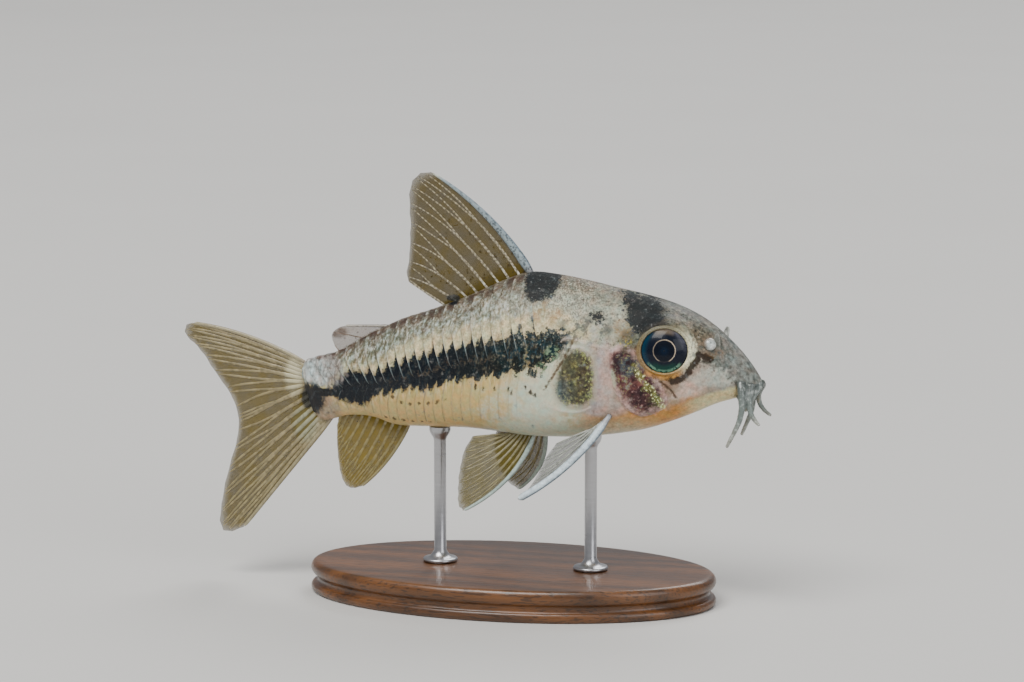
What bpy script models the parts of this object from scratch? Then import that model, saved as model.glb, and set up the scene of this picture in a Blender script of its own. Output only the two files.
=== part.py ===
"""A corydoras catfish, life size, swimming level over a two-rod display stand.

The frame is in metres, +Z up, +X towards the snout and +Y towards the fish's left side.
The origin is the centre of the stand's underside. Sizes below are millimetres, and
every mesh is made through MM, which turns them into metres.
"""

import math

import bmesh
import bpy
import numpy as np
from mathutils import Matrix, Vector

MM = 0.001

# Clearance kept between neighbouring solids.
GAP = 0.3

# Stations of the body from the snout to the tail fin's base. The columns are the distance
# along X, the height of the back, the height of the belly, the half width, the share of the
# height at which the body is widest, and the roundness above and below that height, where 2
# is an ellipse and more is boxier.
BODY_STATIONS = np.array(
    [
        (25.75, 23.20, 22.55, 0.45, 0.50, 2.0, 2.0),
        (25.45, 23.80, 22.15, 1.05, 0.45, 2.0, 2.0),
        (24.65, 24.95, 21.75, 1.75, 0.42, 2.0, 2.1),
        (23.35, 26.50, 21.40, 2.35, 0.40, 2.0, 2.2),
        (21.30, 28.40, 20.75, 3.05, 0.38, 2.0, 2.2),
        (19.20, 29.75, 19.80, 3.65, 0.38, 2.2, 2.2),
        (16.70, 30.80, 18.75, 4.25, 0.38, 2.3, 2.2),
        (14.00, 31.55, 17.85, 4.85, 0.36, 2.1, 2.3),
        (11.10, 32.15, 17.30, 5.45, 0.35, 1.9, 2.5),
        (8.00, 32.80, 16.95, 5.90, 0.34, 1.8, 2.7),
        (5.00, 33.30, 16.80, 6.00, 0.34, 1.7, 2.8),
        (1.90, 33.45, 16.80, 5.75, 0.35, 1.7, 2.8),
        (-1.00, 32.45, 17.00, 5.35, 0.37, 1.8, 2.7),
        (-4.40, 30.85, 17.15, 4.75, 0.40, 1.8, 2.5),
        (-8.40, 29.25, 17.00, 4.00, 0.42, 1.9, 2.3),
        (-12.00, 27.95, 16.95, 3.25, 0.46, 1.9, 2.1),
        (-15.00, 26.30, 17.60, 2.50, 0.48, 2.0, 2.0),
        (-17.80, 24.50, 17.65, 1.90, 0.50, 2.0, 2.0),
        (-20.00, 23.75, 17.10, 1.40, 0.50, 2.0, 2.0),
        (-21.30, 23.25, 16.95, 0.95, 0.50, 2.0, 2.0),
        (-21.90, 22.40, 17.70, 0.45, 0.50, 2.0, 2.0),
    ]
)
# The tail's cross-sections lean back as the tail fin does, growing from the first X to the second.
TAIL_LEAN = math.tan(math.radians(14.5))
TAIL_LEAN_FROM_X, TAIL_LEAN_TO_X = -13.0, -20.0
# The tail is swung towards the fish's left, by this much at the tip of the tail fin.
SWAY_AT_TIP = 2.6
SWAY_FROM_X, SWAY_TIP_X = 2.0, -35.0

# Where thin cuts part the body.
HEAD_TRUNK_X = 9.7
TRUNK_TAIL_X = -11.6
RINGS_PER_STATION = 2
POINTS_AROUND = 28

# Eyes: a flattened ball in a socket on each side.
EYE_X, EYE_Y, EYE_Z = 16.62, 3.3, 26.55
EYE_RADIUS, EYE_DEPTH_RADIUS = 2.5, 1.45

# Gill covers: an oval plate on each cheek, its long axis running down and forwards.
GILL_X, GILL_Z = 13.4, 22.35
GILL_LONG, GILL_SHORT = 3.9, 1.85
GILL_TILT = math.radians(-48.0)
GILL_INNER_Y = 3.6

# Mouth: a slit under the snout.
MOUTH_X, MOUTH_Z = 24.35, 22.0
MOUTH_LONG, MOUTH_WIDE, MOUTH_OPEN = 1.5, 1.5, 0.22
MOUTH_TILT = math.radians(12.0)

# Nostril flaps: a small upright leaf on each side of the snout.
NOSTRIL_X, NOSTRIL_Y, NOSTRIL_Z = 21.05, 2.75, 27.15
NOSTRIL_LONG, NOSTRIL_HIGH, NOSTRIL_THICK = 0.75, 0.7, 0.3

# Feelers of the side at +Y. The other side mirrors them.
BARBEL_RADIUS_ROOT, BARBEL_RADIUS_TIP = 0.40, 0.25
BARBEL_POINTS = 9
BARBELS = {
    "rear": [
        (23.85, 2.35, 22.05), (23.6, 2.7, 21.0), (23.8, 2.9, 20.3), (23.3, 3.2, 19.0), (22.8, 3.7, 17.0),
    ],
    "front": [
        (25.35, 1.6, 22.1), (25.05, 2.05, 21.3), (25.1, 2.4, 20.4), (25.5, 2.7, 19.8), (26.2, 3.1, 19.1),
    ],
    "chin": [(23.75, 1.15, 21.2), (23.85, 1.35, 20.7), (23.8, 1.6, 20.2), (23.6, 1.8, 19.8)],
}

# Fins. A root or margin point is X and Z for a fin on the midline, and X, Y, Z for a paired one.
FIN_HALF_THICKNESS = 0.26
RAY_HALF_THICKNESS = 0.36
FIN_ROWS = 7
WEB_NOTCH = 0.02
DORSAL_ROOT_X = (1.9, -7.0)
DORSAL_MARGIN = [
    (-8.5, 43.0), (-9.5, 42.9), (-10.3, 42.3), (-10.75, 41.2), (-10.8, 39.6), (-10.7, 37.8), (-10.75, 36.0),
    (-10.85, 34.2), (-11.1, 32.7), (-10.9, 31.8),
]
ADIPOSE_ROOT_X = (-13.0, -18.4)
ADIPOSE_MARGIN = [(-17.75, 26.95), (-18.5, 26.7), (-19.1, 26.2), (-19.25, 25.6), (-18.95, 24.9)]
ANAL_ROOT_X = (-10.85, -18.3)
ANAL_MARGIN = [
    (-16.1, 10.4), (-17.0, 10.15), (-17.8, 10.4), (-18.35, 11.5), (-18.65, 13.3), (-18.75, 15.1), (-18.7, 16.4),
]
# The tail fin's two lobes, each from its outer edge to the middle of the fork.
TAIL_UPPER_ROOT = [(-22.6, 23.1), (-22.6, 21.6), (-22.25, 20.25)]
TAIL_LOWER_ROOT = [(-19.8, 16.5), (-20.9, 16.55), (-21.75, 18.2), (-22.25, 19.95)]
TAIL_UPPER_MARGIN = [
    (-34.9, 26.3), (-35.6, 26.1), (-35.95, 25.5), (-35.6, 24.8), (-34.5, 24.0), (-33.5, 22.9), (-32.5, 21.5),
    (-31.3, 20.0), (-30.3, 18.5), (-29.7, 16.9),
]
TAIL_LOWER_MARGIN = [
    (-29.3, 5.2), (-30.6, 4.65), (-31.6, 4.7), (-32.0, 5.7), (-31.8, 7.4), (-31.35, 9.7), (-30.6, 12.3),
    (-29.95, 14.4), (-29.7, 16.3),
]
PECTORAL_ROOT = [(11.0, 5.95, 19.4), (9.7, 6.2, 18.7)]
RIGHT_PECTORAL_MARGIN = [
    (2.8, 8.4, 11.75), (3.5, 8.15, 12.4), (4.5, 7.85, 13.9), (5.3, 7.4, 15.7), (6.4, 7.05, 17.3),
]
LEFT_PECTORAL_MARGIN = [
    (2.0, 9.6, 15.7), (2.8, 9.4, 16.5), (3.9, 9.0, 17.6), (4.8, 8.5, 18.5), (5.7, 8.0, 19.1),
]
PELVIC_ROOT = [(2.8, 2.5, 16.4), (-0.2, 2.9, 16.7)]
RIGHT_PELVIC_MARGIN = [
    (-3.6, 5.6, 9.7), (-4.1, 5.6, 10.3), (-4.15, 5.55, 11.6), (-4.1, 5.45, 13.1), (-3.85, 5.25, 14.4),
    (-3.5, 5.0, 15.7), (-2.9, 4.5, 16.8),
]
LEFT_PELVIC_MARGIN = [
    (-0.9, 5.7, 9.9), (-2.3, 5.8, 10.9), (-3.2, 5.6, 13.0), (-3.3, 5.3, 15.0), (-2.8, 5.1, 16.6),
]

# Display stand.
PLINTH_LONG, PLINTH_WIDE, PLINTH_HIGH = 42.0, 24.0, 3.2
PLINTH_BEVEL = 0.8
ROD_RADIUS = 0.75
ROD_X = {"front": 8.2, "rear": -7.6}
ROD_SIDES = 20

SKIN = ("skin", (0.52, 0.48, 0.40), 0.35, 0.0)
FIN = ("fin", (0.55, 0.52, 0.46), 0.40, 0.0)
EYE = ("eye", (0.02, 0.03, 0.05), 0.08, 0.0)
BARBEL = ("barbel", (0.58, 0.58, 0.56), 0.40, 0.0)
WOOD = ("stand_wood", (0.09, 0.05, 0.03), 0.35, 0.0)
STEEL = ("stand_steel", (0.62, 0.62, 0.63), 0.25, 1.0)


def material(finish):
    """The material of this name, colour, roughness and metallic value, made on first use."""
    name, colour, roughness, metallic = finish
    made = bpy.data.materials.get(name) or bpy.data.materials.new(name)
    made.use_nodes = True
    shader = made.node_tree.nodes["Principled BSDF"]
    shader.inputs["Base Color"].default_value = (*colour, 1.0)
    shader.inputs["Roughness"].default_value = roughness
    shader.inputs["Metallic"].default_value = metallic
    return made


def collection(name):
    made = bpy.data.collections.new(name)
    bpy.context.scene.collection.children.link(made)
    return made


def add_object(name, data, finish, group):
    """Links a mesh or curve as the named object, with its finish."""
    made = bpy.data.objects.new(name, data)
    data.materials.append(material(finish))
    group.objects.link(made)
    return made


def mesh_from(name, points_mm, faces):
    """A smooth-shaded mesh from points in millimetres, its normals pointing outwards."""
    mesh = bpy.data.meshes.new(name)
    mesh.from_pydata((np.asarray(points_mm) * MM).tolist(), [], faces)
    shell = bmesh.new()
    shell.from_mesh(mesh)
    bmesh.ops.recalc_face_normals(shell, faces=shell.faces)
    shell.to_mesh(mesh)
    shell.free()
    mesh.shade_smooth()
    mesh.set_sharp_from_angle(angle=math.radians(40.0))
    return mesh


def smooth_rows(rows, at):
    """Rows of a table read at fractional row numbers, on a Catmull-Rom curve."""
    rows = np.asarray(rows, float)
    at = np.clip(np.asarray(at, float), 0.0, len(rows) - 1.0)
    first = np.minimum(at.astype(int), len(rows) - 2)
    t = (at - first)[..., None]
    padded = np.vstack([2 * rows[0] - rows[1], rows, 2 * rows[-1] - rows[-2]])
    a, b, c, d = (padded[first + k] for k in range(4))
    return 0.5 * (2 * b + (c - a) * t + (2 * a - 5 * b + 4 * c - d) * t**2 + (3 * b - a - 3 * c + d) * t**3)


def sway(x):
    """How far the tail's swing moves a point at this X towards the fish's left."""
    behind = np.clip((SWAY_FROM_X - np.asarray(x, float)) / (SWAY_FROM_X - SWAY_TIP_X), 0.0, None)
    return SWAY_AT_TIP * behind**2


def signed_power(value, power):
    return np.sign(value) * np.abs(value) ** power


def body_points(at, around):
    """Body surface points. `at` is a station number, and `around` is 0 at the back, a quarter
    turn on the right side and a half turn at the belly. Each half of a cross-section is a
    superellipse from its widest height to the back or the belly."""
    x, top, bottom, half, wide_at, upper, lower = np.moveaxis(smooth_rows(BODY_STATIONS, at), -1, 0)
    widest = bottom + wide_at * (top - bottom)
    rise = np.cos(around)
    power = 2.0 / np.where(rise > 0, upper, lower)
    y = -half * signed_power(np.sin(around), power)
    z = widest + np.where(rise > 0, top - widest, widest - bottom) * signed_power(rise, power)
    lean = TAIL_LEAN * np.clip((TAIL_LEAN_FROM_X - x) / (TAIL_LEAN_FROM_X - TAIL_LEAN_TO_X), 0.0, 1.0)
    x = x - lean * (z - (top + bottom) / 2)
    return np.stack([x, y + sway(x), z], -1)


def station_at(x):
    """The station number whose cross-section stands at this X."""
    numbers = np.linspace(0.0, len(BODY_STATIONS) - 1.0, 2001)
    along = smooth_rows(BODY_STATIONS, numbers)[:, 0]
    return float(np.interp(-x, -along, numbers))


def midline_height(x, around):
    """Height of the back, with `around` 0, or of the belly, with a half turn, at this X."""
    numbers = np.linspace(0.0, len(BODY_STATIONS) - 1.0, 2001)
    line = body_points(numbers, np.full(len(numbers), around))
    return np.interp(-np.asarray(x, float), -line[:, 0], line[:, 2])


def body_mesh(name, first, last):
    """A closed loft of the body between two station numbers, with flat ends."""
    rings = max(3, round((last - first) * RINGS_PER_STATION) + 1)
    at, around = np.meshgrid(
        np.linspace(first, last, rings),
        np.linspace(0.0, 2 * math.pi, POINTS_AROUND, endpoint=False),
        indexing="ij",
    )
    points = body_points(at, around).reshape(-1, 3)
    n = POINTS_AROUND
    faces = [
        (i * n + j, i * n + (j + 1) % n, (i + 1) * n + (j + 1) % n, (i + 1) * n + j)
        for i in range(rings - 1)
        for j in range(n)
    ]
    faces.append(tuple(range(n)))
    faces.append(tuple((rings - 1) * n + j for j in range(n)))
    return mesh_from(name, points, faces)


def ball_mesh(name, radii, segments=20, rings=12):
    """An ellipsoid about the origin, with its poles along Y."""
    ball = bmesh.new()
    turn = Matrix.Rotation(math.radians(90.0), 4, "X")
    bmesh.ops.create_uvsphere(ball, u_segments=segments, v_segments=rings, radius=1.0, matrix=turn)
    bmesh.ops.scale(ball, vec=Vector(radii) * MM, verts=ball.verts)
    bmesh.ops.recalc_face_normals(ball, faces=ball.faces)
    mesh = bpy.data.meshes.new(name)
    ball.to_mesh(mesh)
    ball.free()
    mesh.shade_smooth()
    return mesh


def cutter(name, data, place, turn, group):
    """A hidden helper at this place in millimetres, turned about Y."""
    made = bpy.data.objects.new(name, data)
    group.objects.link(made)
    made.location = Vector(place) * MM
    made.rotation_euler = (0.0, turn, 0.0)
    made.hide_render = True
    made.display_type = "WIRE"
    return made


def carve(target, operation, tool):
    change = target.modifiers.new(f"{operation.lower()} {tool.name}", "BOOLEAN")
    change.operation = operation
    change.object = tool


def gill_cutter(name, side, grow, tools):
    """An oval prism across one cheek, reaching inwards to the gill cover's inner face."""
    prism = bmesh.new()
    bmesh.ops.create_cone(
        prism,
        cap_ends=True,
        segments=24,
        radius1=1.0,
        radius2=1.0,
        depth=1.0,
        matrix=Matrix.Rotation(math.radians(90.0), 4, "X"),
    )
    reach = 4.0
    size = (GILL_LONG + grow, reach + grow, GILL_SHORT + grow)
    bmesh.ops.scale(prism, vec=Vector(size) * MM, verts=prism.verts)
    mesh = bpy.data.meshes.new(name)
    prism.to_mesh(mesh)
    prism.free()
    middle_y = side * (GILL_INNER_Y + (reach - grow) / 2)
    return cutter(name, mesh, (GILL_X, middle_y, GILL_Z), -GILL_TILT, tools)


def build_head(parts, tools):
    """The head, its eye sockets, mouth slit and the two gill covers that fit into its cheeks."""
    end = station_at(HEAD_TRUNK_X + GAP / 2)
    head = add_object("head", body_mesh("head", 0.0, end), SKIN, parts)
    for side, word in ((-1, "right"), (1, "left")):
        socket_radii = (EYE_RADIUS + GAP, EYE_DEPTH_RADIUS + GAP, EYE_RADIUS + GAP)
        socket = ball_mesh(f"socket_{word}", socket_radii)
        socket = cutter(f"socket_{word}", socket, (EYE_X, side * EYE_Y, EYE_Z), 0.0, tools)
        carve(head, "DIFFERENCE", socket)
        cover = add_object(f"gill_cover_{word}", body_mesh(f"gill_cover_{word}", 0.0, end), SKIN, parts)
        carve(cover, "INTERSECT", gill_cutter(f"gill_plate_{word}", side, 0.0, tools))
        carve(head, "DIFFERENCE", gill_cutter(f"gill_pocket_{word}", side, GAP, tools))
    slit = ball_mesh("mouth_slit", (MOUTH_LONG, MOUTH_WIDE, MOUTH_OPEN))
    carve(head, "DIFFERENCE", cutter("mouth_slit", slit, (MOUTH_X, 0.0, MOUTH_Z), MOUTH_TILT, tools))


def build_eyes(parts):
    for side, word in ((-1, "right"), (1, "left")):
        ball = ball_mesh(f"eye_{word}", (EYE_RADIUS, EYE_DEPTH_RADIUS, EYE_RADIUS))
        eye = add_object(f"eye_{word}", ball, EYE, parts)
        eye.location = Vector((EYE_X, side * EYE_Y, EYE_Z)) * MM


def build_nostrils(parts):
    radii = (NOSTRIL_LONG, NOSTRIL_THICK, NOSTRIL_HIGH)
    for side, word in ((-1, "right"), (1, "left")):
        leaf = ball_mesh(f"nostril_flap_{word}", radii, segments=10, rings=6)
        flap = add_object(f"nostril_flap_{word}", leaf, SKIN, parts)
        flap.location = Vector((NOSTRIL_X, side * (NOSTRIL_Y + NOSTRIL_THICK + GAP), NOSTRIL_Z)) * MM


def build_trunk_and_tail(parts):
    head_end = station_at(HEAD_TRUNK_X - GAP / 2)
    trunk_end = station_at(TRUNK_TAIL_X + GAP / 2)
    tail_start = station_at(TRUNK_TAIL_X - GAP / 2)
    add_object("trunk", body_mesh("trunk", head_end, trunk_end), SKIN, parts)
    add_object("tail", body_mesh("tail", tail_start, len(BODY_STATIONS) - 1.0), SKIN, parts)


def build_barbel(name, route, side, parts):
    """A tapered feeler along a smooth curve through its route's points."""
    curve = bpy.data.curves.new(name, "CURVE")
    curve.dimensions = "3D"
    curve.bevel_depth = 1.0 * MM
    curve.bevel_resolution = 2
    curve.use_fill_caps = True
    line = curve.splines.new("POLY")
    line.points.add(BARBEL_POINTS - 1)
    along = np.linspace(0.0, 1.0, BARBEL_POINTS)
    for point, place, share in zip(line.points, smooth_rows(route, along * (len(route) - 1)), along):
        x, y, z = place * MM
        point.co = (x, side * y, z, 1.0)
        point.radius = BARBEL_RADIUS_ROOT + (BARBEL_RADIUS_TIP - BARBEL_RADIUS_ROOT) * share
    add_object(name, curve, BARBEL, parts)


def fan_points(root, margin, columns, rows, bow):
    """A fan of rays from a root line to a margin curve, as an array of columns by rows. Each ray
    is a straight line bent aside by a parabola of height `bow`, which fades from the first ray."""
    across = np.linspace(0.0, 1.0, columns)
    start = smooth_rows(root, across * (len(root) - 1))[:, None, :]
    end = smooth_rows(margin, across * (len(margin) - 1))[:, None, :]
    along = np.linspace(0.0, 1.0, rows)[None, :, None]
    bend = 4.0 * along * (1.0 - along) * (1.0 - across)[:, None, None]
    return start + (end - start) * along + np.asarray(bow, float) * bend


def fin_mesh(name, root, margin, rays, bow=(0.0, 0.0, 0.0), spine=RAY_HALF_THICKNESS):
    """A closed fin: a fan with a ridge along each ray, thinner webs between them and a
    stouter first ray. Columns alternate ray and web."""
    columns = 2 * rays - 1
    web = np.arange(columns) % 2 == 1
    fan = fan_points(root, margin, columns, FIN_ROWS, bow)
    fan[web, -1] += (fan[web, -2] - fan[web, -1]) * WEB_NOTCH * FIN_ROWS
    across, along = np.gradient(fan, axis=0), np.gradient(fan, axis=1)
    normal = np.cross(across, along)
    normal /= np.linalg.norm(normal, axis=-1, keepdims=True)
    half = np.where(web, FIN_HALF_THICKNESS, RAY_HALF_THICKNESS)
    half[0] = spine
    taper = np.linspace(1.0, 0.75, FIN_ROWS)[None, :]
    half = np.maximum(half[:, None] * taper, FIN_HALF_THICKNESS)[..., None]
    front, back = fan + normal * half, fan - normal * half
    points = np.concatenate([front.reshape(-1, 3), back.reshape(-1, 3)])
    points[:, 1] += sway(points[:, 0])
    number = np.arange(columns * FIN_ROWS).reshape(columns, FIN_ROWS)
    other = number + columns * FIN_ROWS
    faces = []
    for i in range(columns - 1):
        for j in range(FIN_ROWS - 1):
            faces.append((number[i, j], number[i + 1, j], number[i + 1, j + 1], number[i, j + 1]))
            faces.append((other[i, j + 1], other[i + 1, j + 1], other[i + 1, j], other[i, j]))
    rim = [*number[:, 0], *number[-1, 1:], *number[-2::-1, -1], *number[0, -2:0:-1]]
    for a, b in zip(rim, rim[1:] + rim[:1]):
        faces.append((b, a, a + columns * FIN_ROWS, b + columns * FIN_ROWS))
    return mesh_from(name, points, [tuple(int(v) for v in face) for face in faces])


def on_midline(points):
    """X and Z pairs as points on the fish's plane of symmetry."""
    return [(x, 0.0, z) for x, z in points]


def root_on_body(ends, around, clearance):
    """A root line along the back or the belly between two X, held clear of the body."""
    x = np.linspace(*ends, 5)
    return [(a, 0.0, z + clearance) for a, z in zip(x, midline_height(x, around))]


def build_median_fins(parts):
    back, belly = 0.0, math.pi
    dorsal = fin_mesh(
        "dorsal_fin", root_on_body(DORSAL_ROOT_X, back, GAP), on_midline(DORSAL_MARGIN), 8,
        bow=(0.5, 0.0, 0.5), spine=0.45,
    )
    adipose = fin_mesh(
        "adipose_fin", root_on_body(ADIPOSE_ROOT_X, back, GAP), on_midline(ADIPOSE_MARGIN), 3,
    )
    anal = fin_mesh(
        "anal_fin", root_on_body(ANAL_ROOT_X, belly, -GAP), on_midline(ANAL_MARGIN), 7,
        bow=(0.3, 0.0, -0.4),
    )
    for mesh in (dorsal, adipose, anal):
        add_object(mesh.name, mesh, FIN, parts)


def build_tail_fin(parts):
    """Two lobes, parted by a thin gap along the middle of the fork."""
    upper = fin_mesh(
        "tail_fin_upper", on_midline(TAIL_UPPER_ROOT), on_midline(TAIL_UPPER_MARGIN), 8, bow=(0.0, 0.0, 0.6)
    )
    lower = fin_mesh("tail_fin_lower", on_midline(TAIL_LOWER_ROOT), on_midline(TAIL_LOWER_MARGIN), 8)
    for mesh in (upper, lower):
        add_object(mesh.name, mesh, FIN, parts)


def build_paired_fins(parts):
    """Pectoral and pelvic fins, each side in its own stroke. Their points are written for +Y and mirrored."""
    for side, word in ((-1, "right"), (1, "left")):
        flip = np.array((1.0, side, 1.0))
        pectoral_margin = RIGHT_PECTORAL_MARGIN if side < 0 else LEFT_PECTORAL_MARGIN
        pelvic_margin = RIGHT_PELVIC_MARGIN if side < 0 else LEFT_PELVIC_MARGIN
        pectoral = fin_mesh(
            f"pectoral_fin_{word}", flip * PECTORAL_ROOT, flip * pectoral_margin, 7,
            bow=flip * (0.5, 0.3, -0.5), spine=0.6,
        )
        pelvic = fin_mesh(
            f"pelvic_fin_{word}", flip * PELVIC_ROOT, flip * pelvic_margin, 6,
            bow=flip * (1.35, 0.25, -0.6),
        )
        for mesh in (pectoral, pelvic):
            add_object(mesh.name, mesh, FIN, parts)


def build_stand(parts):
    """An oval plinth with a softened top edge, and two rods up to the belly."""
    bpy.ops.mesh.primitive_cylinder_add(vertices=64, radius=0.5, depth=1.0)
    plinth = bpy.context.object
    plinth.name = "stand_base"
    plinth.data.transform(Matrix.Diagonal((PLINTH_LONG * MM, PLINTH_WIDE * MM, PLINTH_HIGH * MM, 1.0)))
    plinth.location = (0.0, 0.0, PLINTH_HIGH / 2 * MM)
    plinth.data.materials.append(material(WOOD))
    soften = plinth.modifiers.new("soft edge", "BEVEL")
    soften.width = PLINTH_BEVEL * MM
    soften.segments = 2
    soften.limit_method = "ANGLE"
    move_to(plinth, parts)
    for word, x in ROD_X.items():
        low = PLINTH_HIGH + GAP
        high = float(midline_height(x, math.pi)) - GAP
        length = (high - low) * MM
        bpy.ops.mesh.primitive_cylinder_add(vertices=ROD_SIDES, radius=ROD_RADIUS * MM, depth=length)
        rod = bpy.context.object
        rod.name = f"stand_rod_{word}"
        rod.location = (x * MM, float(sway(x)) * MM, (low + high) / 2 * MM)
        rod.data.materials.append(material(STEEL))
        rod.data.shade_smooth()
        rod.data.set_sharp_from_angle(angle=math.radians(40.0))
        move_to(rod, parts)


def move_to(obj, group):
    for holder in list(obj.users_collection):
        holder.objects.unlink(obj)
    group.objects.link(obj)


def main():
    for obj in list(bpy.data.objects):
        bpy.data.objects.remove(obj)
    parts = collection("corydoras catfish")
    tools = collection("cutters")
    build_head(parts, tools)
    build_eyes(parts)
    build_nostrils(parts)
    build_trunk_and_tail(parts)
    build_median_fins(parts)
    build_tail_fin(parts)
    build_paired_fins(parts)
    for side, word in ((-1, "right"), (1, "left")):
        for place, route in BARBELS.items():
            build_barbel(f"barbel_{place}_{word}", route, side, parts)
    build_stand(parts)


main()
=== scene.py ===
"""A life-size corydoras catfish over a small display stand: skin, plates, eyes, fins, feelers and stand.

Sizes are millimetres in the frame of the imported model: +X towards the snout, +Y towards the fish's left
side, +Z up, with the origin at the centre of the stand's underside. Shapes are worked out about the fish's
plane of symmetry, and sway() then swings the tail to the side.
"""

import math

import bpy
import numpy as np
from bpy.props import FloatProperty, FloatVectorProperty, IntProperty, PointerProperty
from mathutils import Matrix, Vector


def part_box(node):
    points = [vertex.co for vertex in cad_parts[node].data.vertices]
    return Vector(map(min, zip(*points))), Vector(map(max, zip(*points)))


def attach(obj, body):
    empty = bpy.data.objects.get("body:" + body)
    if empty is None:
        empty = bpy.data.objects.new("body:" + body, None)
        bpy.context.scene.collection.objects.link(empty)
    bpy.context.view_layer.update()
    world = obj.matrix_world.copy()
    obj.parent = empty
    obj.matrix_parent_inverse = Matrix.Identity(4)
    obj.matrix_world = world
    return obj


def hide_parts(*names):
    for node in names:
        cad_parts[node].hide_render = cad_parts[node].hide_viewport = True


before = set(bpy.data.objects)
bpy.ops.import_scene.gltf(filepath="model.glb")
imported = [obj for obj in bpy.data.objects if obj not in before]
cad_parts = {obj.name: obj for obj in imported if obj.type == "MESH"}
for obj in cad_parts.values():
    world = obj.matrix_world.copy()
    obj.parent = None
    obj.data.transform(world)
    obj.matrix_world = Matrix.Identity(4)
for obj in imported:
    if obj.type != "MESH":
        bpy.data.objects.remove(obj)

bl_info = {
    "name": "Corydoras catfish model",
    "version": (1, 0, 0),
    "blender": (4, 5, 0),
    "location": "3D View > Sidebar > Catfish",
    "description": "Builds the skin, plates, eyes, fins, feelers and stand of a life-size catfish model",
    "category": "Object",
}

MM = 0.001
TURN = 2.0 * math.pi
SIDES = {"right": -1.0, "left": 1.0}

# Stations of the body from the snout to the tail fin's base: distance along X, height of the back, height
# of the belly, half width, share of the height at which the body is widest, and the roundness above and
# below that height, where 2 is an ellipse and more is boxier.
BODY_STATIONS = [
    (25.75, 23.2, 22.55, 0.45, 0.5, 2.0, 2.0),
    (25.45, 23.8, 22.15, 1.05, 0.45, 2.0, 2.0),
    (24.65, 24.95, 21.75, 1.75, 0.42, 2.0, 2.1),
    (23.35, 26.5, 21.4, 2.35, 0.4, 2.0, 2.2),
    (21.3, 28.4, 20.75, 3.05, 0.38, 2.0, 2.2),
    (19.2, 29.75, 19.8, 3.65, 0.38, 2.2, 2.2),
    (16.7, 30.8, 18.75, 4.25, 0.38, 2.3, 2.2),
    (14.0, 31.55, 17.85, 4.85, 0.36, 2.1, 2.3),
    (11.1, 32.15, 17.3, 5.45, 0.35, 1.9, 2.5),
    (8.0, 32.8, 16.95, 5.9, 0.34, 1.8, 2.7),
    (5.0, 33.3, 16.8, 6.0, 0.34, 1.7, 2.8),
    (1.9, 33.45, 16.8, 5.75, 0.35, 1.7, 2.8),
    (-1.0, 32.45, 17.0, 5.35, 0.37, 1.8, 2.7),
    (-4.4, 30.85, 17.15, 4.75, 0.4, 1.8, 2.5),
    (-8.4, 29.25, 17.0, 4.0, 0.42, 1.9, 2.3),
    (-12.0, 27.95, 16.95, 3.25, 0.46, 1.9, 2.1),
    (-15.0, 26.3, 17.6, 2.5, 0.48, 2.0, 2.0),
    (-17.8, 24.5, 17.65, 1.9, 0.5, 2.0, 2.0),
    (-20.0, 23.75, 17.1, 1.4, 0.5, 2.0, 2.0),
    (-21.3, 23.25, 16.95, 0.95, 0.5, 2.0, 2.0),
    (-21.9, 22.4, 17.7, 0.45, 0.5, 2.0, 2.0),
]
TAIL_LEAN = math.tan(math.radians(14.5))
TAIL_LEAN_FROM_X, TAIL_LEAN_TO_X = -13.0, -20.0
SWAY_AT_TIP = 2.6
SWAY_FROM_X, SWAY_TIP_X = 2.0, -35.0

# Features of the flank, as X and Z seen from the side.
BAND_TOP = [
    (-18.7, 20.6), (-18.4, 21.4), (-17.2, 22.5), (-15.7, 22.9), (-14.2, 22.8), (-12.4, 23.5), (-9.5, 24.6),
    (-6.9, 25.4), (-4.1, 26.3), (-1.4, 27.0), (1.0, 27.6), (3.6, 28.1), (6.0, 28.2), (7.2, 27.9),
    (7.9, 27.2),
]
BAND_FOOT = [
    (-18.7, 20.6), (-18.4, 19.8), (-17.2, 19.35), (-16.0, 19.25), (-15.0, 19.5), (-13.8, 20.3),
    (-12.4, 21.0), (-9.0, 21.6), (-7.3, 21.9), (-4.2, 22.9), (-1.4, 23.2), (1.3, 23.9), (2.7, 24.2),
    (3.9, 24.0), (5.0, 24.7), (6.3, 25.8), (7.9, 27.1),
]
PLATE_SEAM = [
    (-21.9, 1.65), (-14.0, 1.66), (-11.1, 1.55), (-5.7, 1.37), (-1.1, 1.31), (4.0, 1.16), (8.0, 1.06),
]
PLATE_FOOT = [(-22.0, 2.45), (-18.0, 2.55), (-13.7, 2.62), (-8.0, 2.6), (-3.2, 2.42), (0.2, 2.2), (5.0, 1.95)]
PLATE_CREST = [(-22.0, 0.12), (5.0, 0.1)]
DOT_ROWS = (
    [
        (-16.0, 21.0), (-13.2, 20.6), (-11.6, 20.4), (-10.5, 19.85), (-8.6, 20.0), (-7.0, 20.25),
        (-5.8, 20.65), (-3.0, 21.6),
    ],
    [
        (-16.0, 17.9), (-14.7, 17.95), (-11.9, 18.0), (-9.4, 17.8), (-5.3, 17.9),
    ],
)
SPECKS = [
    (-2.45, 22.25), (-1.6, 22.1), (-0.4, 22.3), (1.1, 22.3), (1.45, 21.9), (2.9, 22.5), (3.4, 22.1),
    (3.9, 21.8),
]
NAPE_MASK = [
    (11.35, 31.95), (13.3, 31.8), (15.1, 31.4), (16.1, 30.3), (16.6, 29.2), (15.7, 28.2), (14.1, 27.9),
    (12.8, 28.8), (12.3, 30.2),
]
DORSAL_BLOTCH = [
    (1.7, 34.0), (3.2, 34.2), (4.9, 33.6), (5.3, 32.2), (4.7, 31.3), (3.6, 30.8), (2.7, 30.7), (2.1, 31.3),
    (1.8, 32.4),
]
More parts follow.
